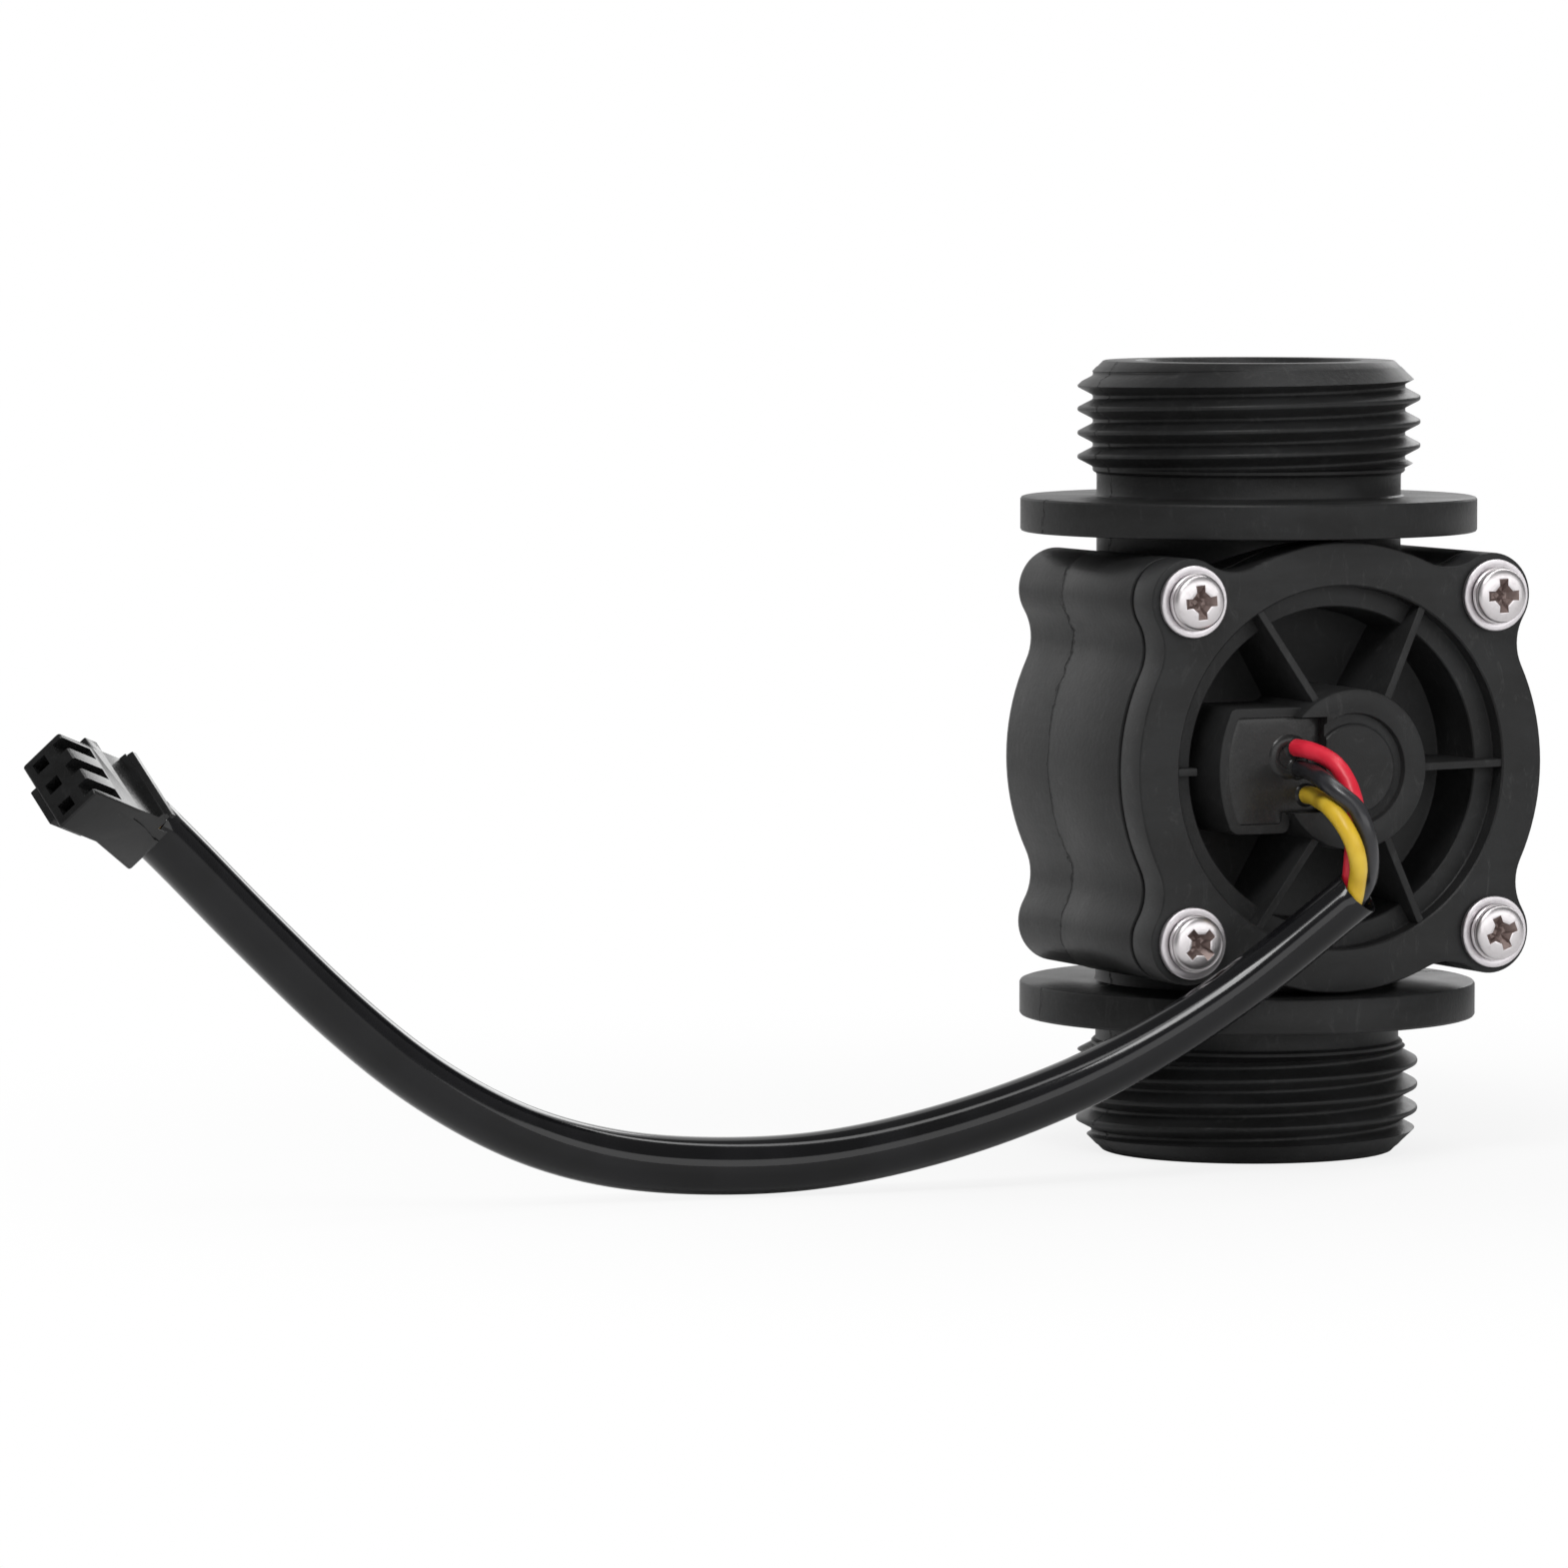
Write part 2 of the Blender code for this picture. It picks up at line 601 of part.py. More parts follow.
def make_cover():
    cover = slab("front_cover", case_outline(), COVER_BACK, COVER_FRONT)
    plug = rod("plug", PLUG_RADIUS, PLUG_END, COVER_BACK + 1, sides=PIPE_SIDES, helper=True)
    boss = rod("front_boss", BOSS_RADIUS, BOSS_FRONT, PLUG_END + 1, sides=SMALL_SIDES, helper=True)
    past = HUB_FRONT + 1
    recess = turned(
        "recess",
        [(0, past), (RECESS_RADIUS, past), (RECESS_RADIUS, LEDGE_FRONT), (LEDGE_RADIUS, LEDGE_FRONT),
         (CUP_RADIUS, CUP_FRONT), (0, CUP_FRONT)],
        FRONT, helper=True,
    )
    dimple = HUB_FRONT - DIMPLE_DEPTH
    hub_base = CUP_FRONT - HUB_IN_FLOOR
    hub = turned(
        "hub",
        [(0, HUB_FRONT), (NUB_RADIUS, HUB_FRONT), (NUB_RADIUS, dimple), (DIMPLE_RADIUS, dimple),
         (DIMPLE_RADIUS, HUB_FRONT), (HUB_RADIUS - HUB_EDGE, HUB_FRONT),
         (HUB_RADIUS, HUB_FRONT - HUB_EDGE), (HUB_RADIUS, hub_base), (0, hub_base)],
        FRONT, helper=True,
    )
    half = RIB_THICKNESS / 2
    stub = block(
        "stub", (-RECESS_RADIUS - STUB_ROOT, -half, LEDGE_FRONT - STUB_ROOT),
        (-LEDGE_RADIUS, half, COVER_FRONT - RIB_RIM_DROP), helper=True,
    )
    cut(join(cover, plug, boss), recess)
    join(cover, hub, stub, *[make_rib(angle) for angle in RIB_ANGLES])
    pocket = slab(
        "pocket",
        pocket_outline(
            POCKET_RADIUS, POCKET_HEIGHT, POCKET_INSIDE + POCKET_IN_HUB,
            POCKET_CORNER, POCKET_STEP, POCKET_FILLET,
        ),
        CUP_FRONT - POCKET_IN_FLOOR, POCKET_FRONT, helper=True,
    )
    room = slab(
        "pocket_room",
        pocket_outline(
            POCKET_RADIUS - POCKET_WALL, POCKET_HEIGHT - POCKET_WALL, POCKET_INSIDE,
            POCKET_CORNER + POCKET_WALL, POCKET_STEP, 0,
        ),
        POCKET_BASE, past, helper=True,
    )
    pin_hole = rod(
        "pin_hole_front", PIN_HOLE, BOSS_FRONT - 1, BOSS_FRONT + FRONT_SEAT + PIN_GAP,
        sides=SMALL_SIDES, helper=True,
    )
    cut(join(cover, pocket), room, pin_hole)
    for place, (across, up) in screw_places().items():
        cut(cover, rod(
            "cover_hole_" + place, SCREW_HOLE, COVER_BACK - 1, COVER_FRONT + 1, (across, up),
            sides=SMALL_SIDES, helper=True,
        ))
    return cover


def make_seal():
    middle = SEAL_INNER + SEAL_WIDTH / 2
    front = CASE_FRONT - SEAL_DEPTH + SEAL_SECTION + SEAT_GAP
    section = [(middle + across, front + up) for across, up in arc((0, 0), SEAL_SECTION, 90, -210, 5)]
    return turned("o_ring", section, FRONT, PIPE_SIDES, ring=True)


def make_screw(place, across, up):
    name = "screw_" + place
    tip = HEAD_BASE - SCREW_LENGTH
    top = HEAD_BASE + HEAD_HEIGHT
    flat, shoulder, drop = HEAD_CROWN
    spin = Matrix.Rotation(math.radians(SCREW_TURNS[place]), 4, "Z")
    frame = FRONT @ Matrix.Translation((across * MM, up * MM, 0)) @ spin
    screw = turned(
        name,
        [(0, top), (HEAD_RADIUS - flat, top), (HEAD_RADIUS - shoulder, top - drop),
         (HEAD_RADIUS, top - flat), (HEAD_RADIUS, HEAD_BASE), (SCREW_RADIUS, HEAD_BASE),
         (SCREW_RADIUS, tip + SCREW_TIP), (SCREW_RADIUS - SCREW_TIP, tip), (0, tip)],
        frame, SMALL_SIDES,
    )
    half_span, half_width = CROSS_SPAN / 2, CROSS_WIDTH / 2
    low, high = top - CROSS_DEPTH, top + 1
    deeper = low - CROSS_STEP
    slot = block(name + "_slot", (-half_span, -half_width, low), (half_span, half_width, high), frame, True)
    cross = block(
        name + "_cross", (-half_width, -half_span, deeper), (half_width, half_span, high), frame, True,
    )
    return cut(screw, slot, cross)


def make_washer(place, across, up):
    frame = FRONT @ Matrix.Translation((across * MM, up * MM, 0))
    low = COVER_FRONT + SEAT_GAP
    high = low + WASHER_THICKNESS
    return ring("washer_" + place, SCREW_HOLE, WASHER_RADIUS, low, high, frame, SMALL_SIDES)


def blade_outline():
    """One blade from inside the hub to the wheel's edge, swept back along its length."""
    root = WHEEL_HUB_RADIUS - BLADE_ROOT
    near, far = [], []
    for step in range(BLADE_STEPS + 1):
        share = step / BLADE_STEPS
        radius = root + (WHEEL_RADIUS - root) * share
        swept = BLADE_SWEEP * share**2
        half = math.degrees(BLADE_THICKNESS / 2 / radius)
        near.append(polar(radius, swept - half))
        far.append(polar(radius, swept + half))
    return near + far[::-1]


def make_impeller():
    impeller = rod("impeller", WHEEL_HUB_RADIUS, HUB_BACK, HUB_END, sides=PIPE_SIDES)
    middle = (HUB_BACK + HUB_END) / 2
    web = rod(
        "wheel_web", WHEEL_WEB_RADIUS, middle - WHEEL_WEB / 2, middle + WHEEL_WEB / 2,
        sides=PIPE_SIDES, helper=True,
    )
    join(impeller, web)
    for number in range(BLADE_COUNT):
        turn = Matrix.Rotation(2 * math.pi * number / BLADE_COUNT, 4, "Z")
        blade = slab(f"blade_{number}", blade_outline(), BLADE_BACK, BLADE_FRONT, FRONT @ turn, True)
        join(impeller, blade)
    seat = ring(
        "magnet_seat", MAGNET_INNER - GAP, MAGNET_OUTER + GAP, MAGNET_BASE - GAP, BLADE_FRONT + 1,
        sides=PIPE_SIDES, helper=True,
    )
    bore = rod("bush_bore", BUSH_RADIUS + GAP, HUB_BACK - 1, HUB_END + 1, sides=SMALL_SIDES, helper=True)
    return cut(impeller, seat, bore)


def make_shaft():
    back = BOSS_BACK - PIN_SEAT
    front = BOSS_FRONT + FRONT_SEAT
    pin = turned(
        "axle_pin",
        [(0, front), (PIN_RADIUS - PIN_EDGE, front), (PIN_RADIUS, front - PIN_EDGE),
         (PIN_RADIUS, back + PIN_EDGE), (PIN_RADIUS - PIN_EDGE, back), (0, back)],
        FRONT, SMALL_SIDES,
    )
    bush = ring(
        "wheel_bush", PIN_HOLE, BUSH_RADIUS, HUB_BACK + SEAT_GAP, HUB_END - SEAT_GAP, sides=SMALL_SIDES,
    )
    low = BOSS_BACK + GAP
    back_spacer = ring(
        "thrust_washer_back", PIN_HOLE, SPACER_RADIUS, low, low + SPACER_THICKNESS, sides=SMALL_SIDES,
    )
    high = BOSS_FRONT - GAP
    front_spacer = ring(
        "thrust_washer_front", PIN_HOLE, SPACER_RADIUS, high - SPACER_THICKNESS, high, sides=SMALL_SIDES,
    )
    return pin, bush, back_spacer, front_spacer


def make_electronics():
    room = POCKET_WALL + GAP
    board = block(
        "sensor_board", (-BOARD_REACH, -POCKET_STEP + room, BOARD_BASE),
        (-POCKET_INSIDE - GAP, BOARD_HEIGHT, BOARD_FRONT),
    )
    across, up, thick = HALL_SIZE
    hall_left = -MAGNET_OUTER - HALL_SHIFT
    hall = block(
        "hall_element", (hall_left, -up / 2, HALL_BASE), (hall_left + across, up / 2, HALL_BASE + thick),
    )
    chip_front = CHIP_BASE + CHIP_THICKNESS
    left = CHIP_INSET - BOARD_REACH
    long, high = RESISTOR_SIZE
    resistor = block(
        "chip_resistor", (left, RESISTOR_HEIGHT, CHIP_BASE), (left + long, RESISTOR_HEIGHT + high, chip_front),
    )
    long, high = CAPACITOR_SIZE
    capacitor = block(
        "chip_capacitor", (left, CAPACITOR_HEIGHT, CHIP_BASE),
        (left + long, CAPACITOR_HEIGHT + high, chip_front),
    )
    return board, hall, resistor, capacitor


def make_potting():
    inset = POCKET_WALL + POTTING_GAP
    outline = pocket_outline(
        POCKET_RADIUS - inset, POCKET_HEIGHT - inset, POCKET_INSIDE + POTTING_GAP,
        POCKET_CORNER + inset, POCKET_STEP - POTTING_GAP, 0,
    )
    potting = slab("potting", outline, POTTING_BASE, POTTING_FRONT - POTTING_DOME)
    shape = bmesh.new()
    shape.from_mesh(potting.data)
    height = max(vertex.co.z for vertex in shape.verts)
    top = [face for face in shape.faces if face.calc_center_median().z > height - 0.00001]
    for share, rise in POTTING_STEPS:
        bmesh.ops.inset_region(shape, faces=top, thickness=share * MM, depth=0, use_even_offset=True)
        for vertex in {vertex for face in top for vertex in face.verts}:
            vertex.co.z += rise * POTTING_DOME * MM
    shape.to_mesh(potting.data)
    shape.free()
    for name, wire in WIRES.items():
        cut(potting, rod(
            name + "_hole", WIRE_RADIUS + POTTING_GAP, POTTING_BASE - 1, POTTING_FRONT + 1, wire["exit"],
            sides=16, helper=True,
        ), solver="MANIFOLD")
    return potting


def smooth_points(route):
    """Points of a smooth curve through the route's own points."""
    points = [Vector(point) for point in route]
    points = [2 * points[0] - points[1]] + points + [2 * points[-1] - points[-2]]
    curve = []
    for before, start, end, after in zip(points, points[1:], points[2:], points[3:]):
        for step in range(CURVE_STEPS):
            t = step / CURVE_STEPS
            curve.append(0.5 * (
                2 * start + (end - before) * t + (2 * before - 5 * start + 4 * end - after) * t**2
                + (3 * start - before - 3 * end + after) * t**3
            ))
    return curve + [points[-2]]


def along(curve, spacing):
    """Evenly spaced points along a dense curve, with both of its ends."""
    total = sum((end - start).length for start, end in zip(curve, curve[1:]))
    count = max(1, round(total / spacing))
    places = [curve[0]]
    travelled, wanted = 0.0, total / count
    for start, end in zip(curve, curve[1:]):
        length = (end - start).length
        while travelled + length >= wanted and len(places) < count:
            places.append(start.lerp(end, (wanted - travelled) / length))
            wanted += total / count
        travelled += length
    return places + [curve[-1]]


def sleeve_stations():
    """Where the sleeve and its wires bend: closer together in the sleeve's curved mouth."""
    curve = smooth_points(SLEEVE_ROUTE)
    stations = along(curve, SLEEVE_STEP)
    mouth = along(curve[:2 * CURVE_STEPS + 1], WIRE_STEP)
    reach = (mouth[-1] - stations[0]).length
    return mouth + [place for place in stations if (place - stations[0]).length > reach + WIRE_STEP]


def wire_lanes(stations):
    """Each station's centre with two directions across it, carried along without twist."""
    lanes = []
    side = Vector((0, -1, 0))
    for number, place in enumerate(stations):
        ahead = stations[min(number + 1, len(stations) - 1)] - stations[max(number - 1, 0)]
        ahead.normalize()
        side = (side - ahead * side.dot(ahead)).normalized()
        lanes.append((place, side.copy(), ahead.cross(side)))
    return lanes


def make_sleeve(stations):
    outside = tube_curve("lead_sleeve", stations, SLEEVE_RADIUS, 4, caps=False)
    sleeve = mesh_from_curve(outside, False)
    wall = sleeve.modifiers.new("wall", "SOLIDIFY")
    wall.thickness = SLEEVE_WALL * MM
    wall.offset = -1
    return sleeve


def in_plug(place):
    """A point given in the connector's own frame, as world millimetres."""
    return PLUG @ (Vector(place) * MM) / MM


def make_wire(name, wire, lanes):
    across, up = wire["exit"]
    heights = (CHIP_BASE, POTTING_BASE + WIRE_BURIED, POTTING_FRONT)
    start = [FRONT @ (Vector((across, up, front)) * MM) / MM for front in heights]
    cosine, sine = math.cos(math.radians(wire["lane"])), math.sin(math.radians(wire["lane"]))
    inside = [place + WIRE_LANE * (side * cosine + over * sine) for place, side, over in lanes]
    contact = wire["contact"] * CONTACT_PITCH
    crimp = TERMINAL_START + TERMINAL_LENGTH + GAP
    tail = [in_plug((crimp + back, contact, -CONTACT_DROP)) for back in (TERMINAL_LENGTH / 2, 0)]
    loop = along(smooth_points(start + list(wire["loop"]) + inside[:1]), WIRE_STEP)
    fan = along(smooth_points([inside[-1]] + tail), WIRE_STEP)
    return tube_curve(name, loop[:-1] + inside[:-1] + fan, WIRE_RADIUS, 2)


def make_connector():
    half = CONNECTOR_WIDTH / 2
    tail = CONNECTOR_LENGTH
    side_view = [
        (0, -CONNECTOR_TOP), (CONNECTOR_RAMP, -CONNECTOR_TOP), (tail, -CONNECTOR_TAIL_DROP),
        (tail, CONNECTOR_TOP), (0, CONNECTOR_TOP),
    ]
    stand = PLUG @ Matrix.Rotation(math.radians(90), 4, "X")
    body = slab("connector_housing", side_view, -half, half, stand)
    lip_end = LIP_START + LIP_LENGTH
    lean_front, lean_back = LIP_LEAN
    lip_view = [
        (LIP_START, CONNECTOR_TOP - LIP_ROOT), (lip_end, CONNECTOR_TOP - LIP_ROOT),
        (lip_end + lean_back, CONNECTOR_TOP + LIP_RISE), (LIP_START + lean_front, CONNECTOR_TOP + LIP_RISE),
    ]
    lip = slab("lip", lip_view, -half - LIP_OVERHANG, half + LIP_OVERHANG, stand, True)
    key = block(
        "key", (KEY_START, half - LIP_ROOT, CONNECTOR_TOP - KEY_DROP),
        (KEY_START + KEY_LENGTH, half + KEY_WIDTH, CONNECTOR_TOP), PLUG, True,
    )
    keel = block(
        "keel", (*KEEL_LOW, -CONNECTOR_TOP - KEEL_DROP), (*KEEL_HIGH, GAP - CONNECTOR_TOP), PLUG, True,
    )
    join(body, lip, key, keel)
    room_start = tail - TAIL_ROOM
    half_cavity = CAVITY_WIDTH / 2
    wide = CONTACT_PITCH + half_cavity
    room = block(
        "tail_room", (room_start, -wide, -CONNECTOR_TOP + CONNECTOR_WALL),
        (tail + 1, wide, CONNECTOR_TOP - CONNECTOR_WALL), PLUG, True,
    )
    notch = block(
        "tail_notch", (lip_end + LIP_RISE / 2, -wide, 0), (tail + 1, wide, CONNECTOR_TOP + 1), PLUG, True,
    )
    cut(body, room, notch)
    for number in (-1, 0, 1):
        middle = number * CONTACT_PITCH
        cavity = block(
            f"cavity_{number}", (TERMINAL_START - GAP, middle - half_cavity, -CONTACT_DROP - half_cavity),
            (room_start + 1, middle + half_cavity, half_cavity - CONTACT_DROP), PLUG, True,
        )
        mouth = block(
            f"mouth_{number}", (-1, middle - MOUTH_WIDTH / 2, -CONTACT_DROP - MOUTH_HEIGHT / 2),
            (TERMINAL_START + 1, middle + MOUTH_WIDTH / 2, -CONTACT_DROP + MOUTH_HEIGHT / 2), PLUG, True,
        )
        slot = block(
            f"slot_{number}", (-1, middle - SLOT_WIDTH / 2, CONNECTOR_TOP - SLOT_DEPTH),
            (SLOT_LENGTH, middle + SLOT_WIDTH / 2, CONNECTOR_TOP + 1), PLUG, True,
        )
        cut(body, cavity, mouth, slot)
    return body


def make_terminal(number):
    """A crimped socket contact: a square sleeve with an open crimp behind it."""
    half = TERMINAL_WIDTH / 2
    middle = number * CONTACT_PITCH
    name = ("terminal_a", "terminal_b", "terminal_c")[number + 1]
    sleeve = block(
        name, (TERMINAL_START, middle - half, -CONTACT_DROP - half),
        (TERMINAL_START + TERMINAL_LENGTH, middle + half, -CONTACT_DROP + half), PLUG,
    )
    inner = half - TERMINAL_WALL
    end = TERMINAL_START + TERMINAL_LENGTH + 1
    bore = block(
        name + "_bore", (TERMINAL_START - 1, middle - inner, -CONTACT_DROP - inner),
        (end, middle + inner, inner - CONTACT_DROP), PLUG, True,
    )
    crimp = TERMINAL_START + TERMINAL_CLOSED * TERMINAL_LENGTH
    opened = block(
        name + "_open", (crimp, middle - half - 1, CRIMP_HEIGHT - CONTACT_DROP),
        (end, middle + half + 1, half + 1 - CONTACT_DROP), PLUG, True,
    )
    return cut(sleeve, bore, opened)


def paint(part, colour, roughness, metallic=0.0):
    material = bpy.data.materials.new(part.name)
    material.use_nodes = True
    shader = material.node_tree.nodes["Principled BSDF"]
    shader.inputs["Base Color"].default_value = (*colour, 1)
    shader.inputs["Roughness"].default_value = roughness
    shader.inputs["Metallic"].default_value = metallic
    part.data.materials.clear()
    part.data.materials.append(material)


def finish(part):
    """Applies the part's modifiers and shades its round faces smooth."""
    if part.type != "MESH":
        return
    bpy.context.view_layer.update()
    graph = bpy.context.evaluated_depsgraph_get()
    mesh = bpy.data.meshes.new_from_object(part.evaluated_get(graph))
    part.modifiers.clear()
    part.data = mesh
    mesh.shade_smooth()
    mesh.set_sharp_from_angle(angle=math.radians(35))


NYLON = (0.02, 0.02, 0.021)
STEEL = (0.75, 0.74, 0.72)
PVC = (0.012, 0.012, 0.013)
BRASS = (0.75, 0.6, 0.3)


def make_all():
    for part in (make_housing(), make_cover()):
        paint(part, NYLON, 0.45)
    paint(make_seal(), (0.03, 0.03, 0.03), 0.6)
    for place, (across, up) in screw_places().items():
        paint(make_screw(place, across, up), STEEL, 0.25, 1)
        paint(make_washer(place, across, up), STEEL, 0.3, 1)
    paint(make_impeller(), (0.75, 0.75, 0.72), 0.4)
    magnet_front = MAGNET_BASE + MAGNET_THICKNESS
    magnet = ring("magnet_ring", MAGNET_INNER, MAGNET_OUTER, MAGNET_BASE, magnet_front, sides=PIPE_SIDES)
    paint(magnet, (0.05, 0.05, 0.05), 0.5, 0.3)
    pin, bush, back_spacer, front_spacer = make_shaft()
    paint(pin, STEEL, 0.2, 1)
    for part in (bush, back_spacer, front_spacer):
        paint(part, (0.8, 0.78, 0.7), 0.4)
    board, hall, resistor, capacitor = make_electronics()
    paint(board, (0.02, 0.12, 0.04), 0.4)
    paint(hall, (0.03, 0.03, 0.03), 0.5)
    paint(resistor, (0.02, 0.02, 0.02), 0.4)
    paint(capacitor, (0.45, 0.32, 0.2), 0.5)
    paint(make_potting(), (0.008, 0.008, 0.009), 0.1)
    stations = sleeve_stations()
    paint(make_sleeve(stations), PVC, 0.2)
    lanes = wire_lanes(stations)
    for name, wire in WIRES.items():
        paint(make_wire(name, wire, lanes), wire["colour"], 0.4)
    paint(make_connector(), NYLON, 0.4)
    for number in (-1, 0, 1):
        paint(make_terminal(number), BRASS, 0.3, 1)
    for part in PARTS.objects:
        finish(part)


make_all()
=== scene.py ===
import math

import bmesh
import bpy
from mathutils import Euler, Matrix, Vector


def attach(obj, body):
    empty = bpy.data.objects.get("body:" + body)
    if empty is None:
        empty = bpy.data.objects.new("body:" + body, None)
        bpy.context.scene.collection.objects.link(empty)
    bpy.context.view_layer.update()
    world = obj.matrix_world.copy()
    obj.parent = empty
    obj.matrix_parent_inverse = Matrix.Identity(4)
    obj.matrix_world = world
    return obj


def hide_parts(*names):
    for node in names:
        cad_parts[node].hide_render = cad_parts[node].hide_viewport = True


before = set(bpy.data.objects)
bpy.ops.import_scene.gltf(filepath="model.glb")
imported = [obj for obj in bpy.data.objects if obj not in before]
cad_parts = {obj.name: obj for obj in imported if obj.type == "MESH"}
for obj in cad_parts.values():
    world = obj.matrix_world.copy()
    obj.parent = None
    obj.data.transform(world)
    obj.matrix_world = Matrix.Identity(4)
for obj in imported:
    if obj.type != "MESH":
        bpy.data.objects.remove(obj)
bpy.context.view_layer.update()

mm = 0.001
print("frame loaded")

# Camera, at the photograph's viewing angle
photoView = {"place": (-0.40816, -0.79681, 0.0982), "turn": (85.995, 0.0, -24.236), "lens": 211.52}


def radiansOf(degrees):
    return [math.radians(turn) for turn in degrees]


bpy.ops.object.camera_add(location=photoView["place"], rotation=radiansOf(photoView["turn"]))
camera = bpy.context.object
camera.name = "photoCamera"
camera.data.lens = photoView["lens"]
camera.data.sensor_width = 36
camera.data.clip_start = 0.01
bpy.context.scene.camera = camera
bpy.context.scene.view_settings.view_transform = "Standard"

middle = 38.4  # height of the shaft
quarterTurn = Matrix.Rotation(math.radians(90), 4, "X")
faceFrame = Matrix.Translation((0, 0, middle * mm)) @ quarterTurn  # X across, Y up, Z out of the cover
plug = {"place": (-134.67, -34.0, 41.99), "turn": (45.0, 17.0, 33.3)}
plugTurn = Euler(radiansOf(plug["turn"])).to_matrix().to_4x4()
plugFrame = Matrix.Translation(Vector(plug["place"]) * mm) @ plugTurn  # X from the mouths to the tail, Z up
weldGap = 0.000001  # vertices closer than this are merged


def selectNone():
    bpy.ops.object.select_all(action="DESELECT")


def selectOnly(*pieces):
    selectNone()
    for piece in pieces:
        piece.select_set(True)
    bpy.context.view_layer.objects.active = pieces[0]


def editMode(piece):
    selectOnly(piece)
    bpy.ops.object.mode_set(mode="EDIT")
    bpy.ops.mesh.select_mode(type="VERT")
    bpy.ops.mesh.select_all(action="SELECT")


def objectMode():
    bpy.ops.object.mode_set(mode="OBJECT")


def pick(wanted):
    # selects the vertices that the test wants, in edit mode; places are the mesh's own
    bpy.ops.mesh.select_mode(type="VERT")
    bpy.ops.mesh.select_all(action="DESELECT")
    mesh = bpy.context.object.data
    shape = bmesh.from_edit_mesh(mesh)
    for vertex in shape.verts:
        if wanted(vertex):
            vertex.select_set(True)
    shape.select_flush_mode()
    bmesh.update_edit_mesh(mesh)


def modify(piece, kind, **settings):
    selectOnly(piece)
    change = piece.modifiers.new(kind.lower(), kind)
    for name, value in settings.items():
        setattr(change, name, value)
    bpy.ops.object.modifier_apply(modifier=change.name)


def soften(piece, width, angle):
    # rounds the edges that are sharper than the angle
    modify(piece, "BEVEL", width=width * mm, segments=2, limit_method="ANGLE", angle_limit=math.radians(angle))


def combine(piece, operation, others, solver="MANIFOLD"):
    for other in others:
        modify(piece, "BOOLEAN", operation=operation, solver=solver, object=other)
        bpy.data.objects.remove(other)


def closeUp(piece):
    # merges doubles, closes open rims and turns the faces outward
    editMode(piece)
    bpy.ops.mesh.remove_doubles(threshold=weldGap)
    bpy.ops.mesh.fill_holes(sides=0)
    bpy.ops.mesh.select_all(action="SELECT")
    bpy.ops.mesh.normals_make_consistent(inside=False)
    objectMode()
    return piece


def put(piece, place):
    # moves a piece by a matrix and leaves its object at the origin
    bpy.context.view_layer.update()
    piece.matrix_world = place @ piece.matrix_world
    selectOnly(piece)
    bpy.ops.object.transform_apply(location=True, rotation=True, scale=True)
    return piece


def smooth(piece, angle):
    # shades smooth, with sharp edges beyond the angle
    selectOnly(piece)
    bpy.ops.object.shade_smooth_by_angle(angle=math.radians(angle), keep_sharp_edges=False)
    return piece


def turned(name, stations, sides=96, loop=False):
    # a circle extruded and scaled through (radius, height) stations
    selectNone()
    radius, height = stations[0]
    bpy.ops.mesh.primitive_circle_add(vertices=sides, radius=radius * mm, location=(0, 0, height * mm))
    piece = bpy.context.object
    piece.name = name
    editMode(piece)
    for nextRadius, nextHeight in stations[1:] + (stations[:1] if loop else []):
        bpy.ops.mesh.extrude_region_move(TRANSFORM_OT_translate={"value": (0, 0, (nextHeight - height) * mm)})
        if nextRadius != radius:
            grow = nextRadius / radius
            bpy.ops.transform.resize(value=(grow, grow, 1), center_override=(0, 0, nextHeight * mm))
        radius, height = nextRadius, nextHeight
    objectMode()
    return put(closeUp(piece), Matrix())


def meshOf(name, curve, height=0.0):
    # a curve set at its height and turned into a mesh
    piece = bpy.data.objects.new(name, curve)
    bpy.context.scene.collection.objects.link(piece)
    piece.location.z = height * mm
    selectOnly(piece)
    bpy.ops.object.convert(target="MESH")
    return piece


def flat(name, outline, low, high, edge=0.0, shrink=0.0):
    # a drawn outline with a thickness and round edges, as a mesh
    curve = bpy.data.curves.new(name, "CURVE")
    curve.dimensions = "2D"
    curve.fill_mode = "BOTH"
    curve.extrude = ((high - low) / 2 - edge) * mm
    curve.bevel_depth = edge * mm
    curve.bevel_resolution = 2
    curve.offset = -(edge + shrink) * mm
    spline = curve.splines.new("POLY")
    spline.points.add(len(outline) - 1)
    for point, (across, up) in zip(spline.points, outline):
        point.co = (across * mm, up * mm, 0, 1)
    spline.use_cyclic_u = True
    return put(closeUp(meshOf(name, curve, (low + high) / 2)), Matrix())


def box(name, low, high, edge=0.0):
    # a cube at its size and place, with its edges bevelled
    low, high = Vector(low), Vector(high)
    selectNone()
    bpy.ops.mesh.primitive_cube_add(size=1, location=(low + high) / 2 * mm, scale=(high - low) * mm)
    piece = bpy.context.object
    piece.name = name
    put(piece, Matrix())
    if edge:
        editMode(piece)
        bpy.ops.mesh.bevel(offset=edge * mm, segments=2, affect="EDGES")
        objectMode()
    return piece


def polar(radius, angle):
    return radius * math.cos(math.radians(angle)), radius * math.sin(math.radians(angle))


def arc(centre, radius, start, end, steps):
    spokes = [polar(radius, start + (end - start) * step / steps) for step in range(steps + 1)]
    return [(centre[0] + across, centre[1] + up) for across, up in spokes]


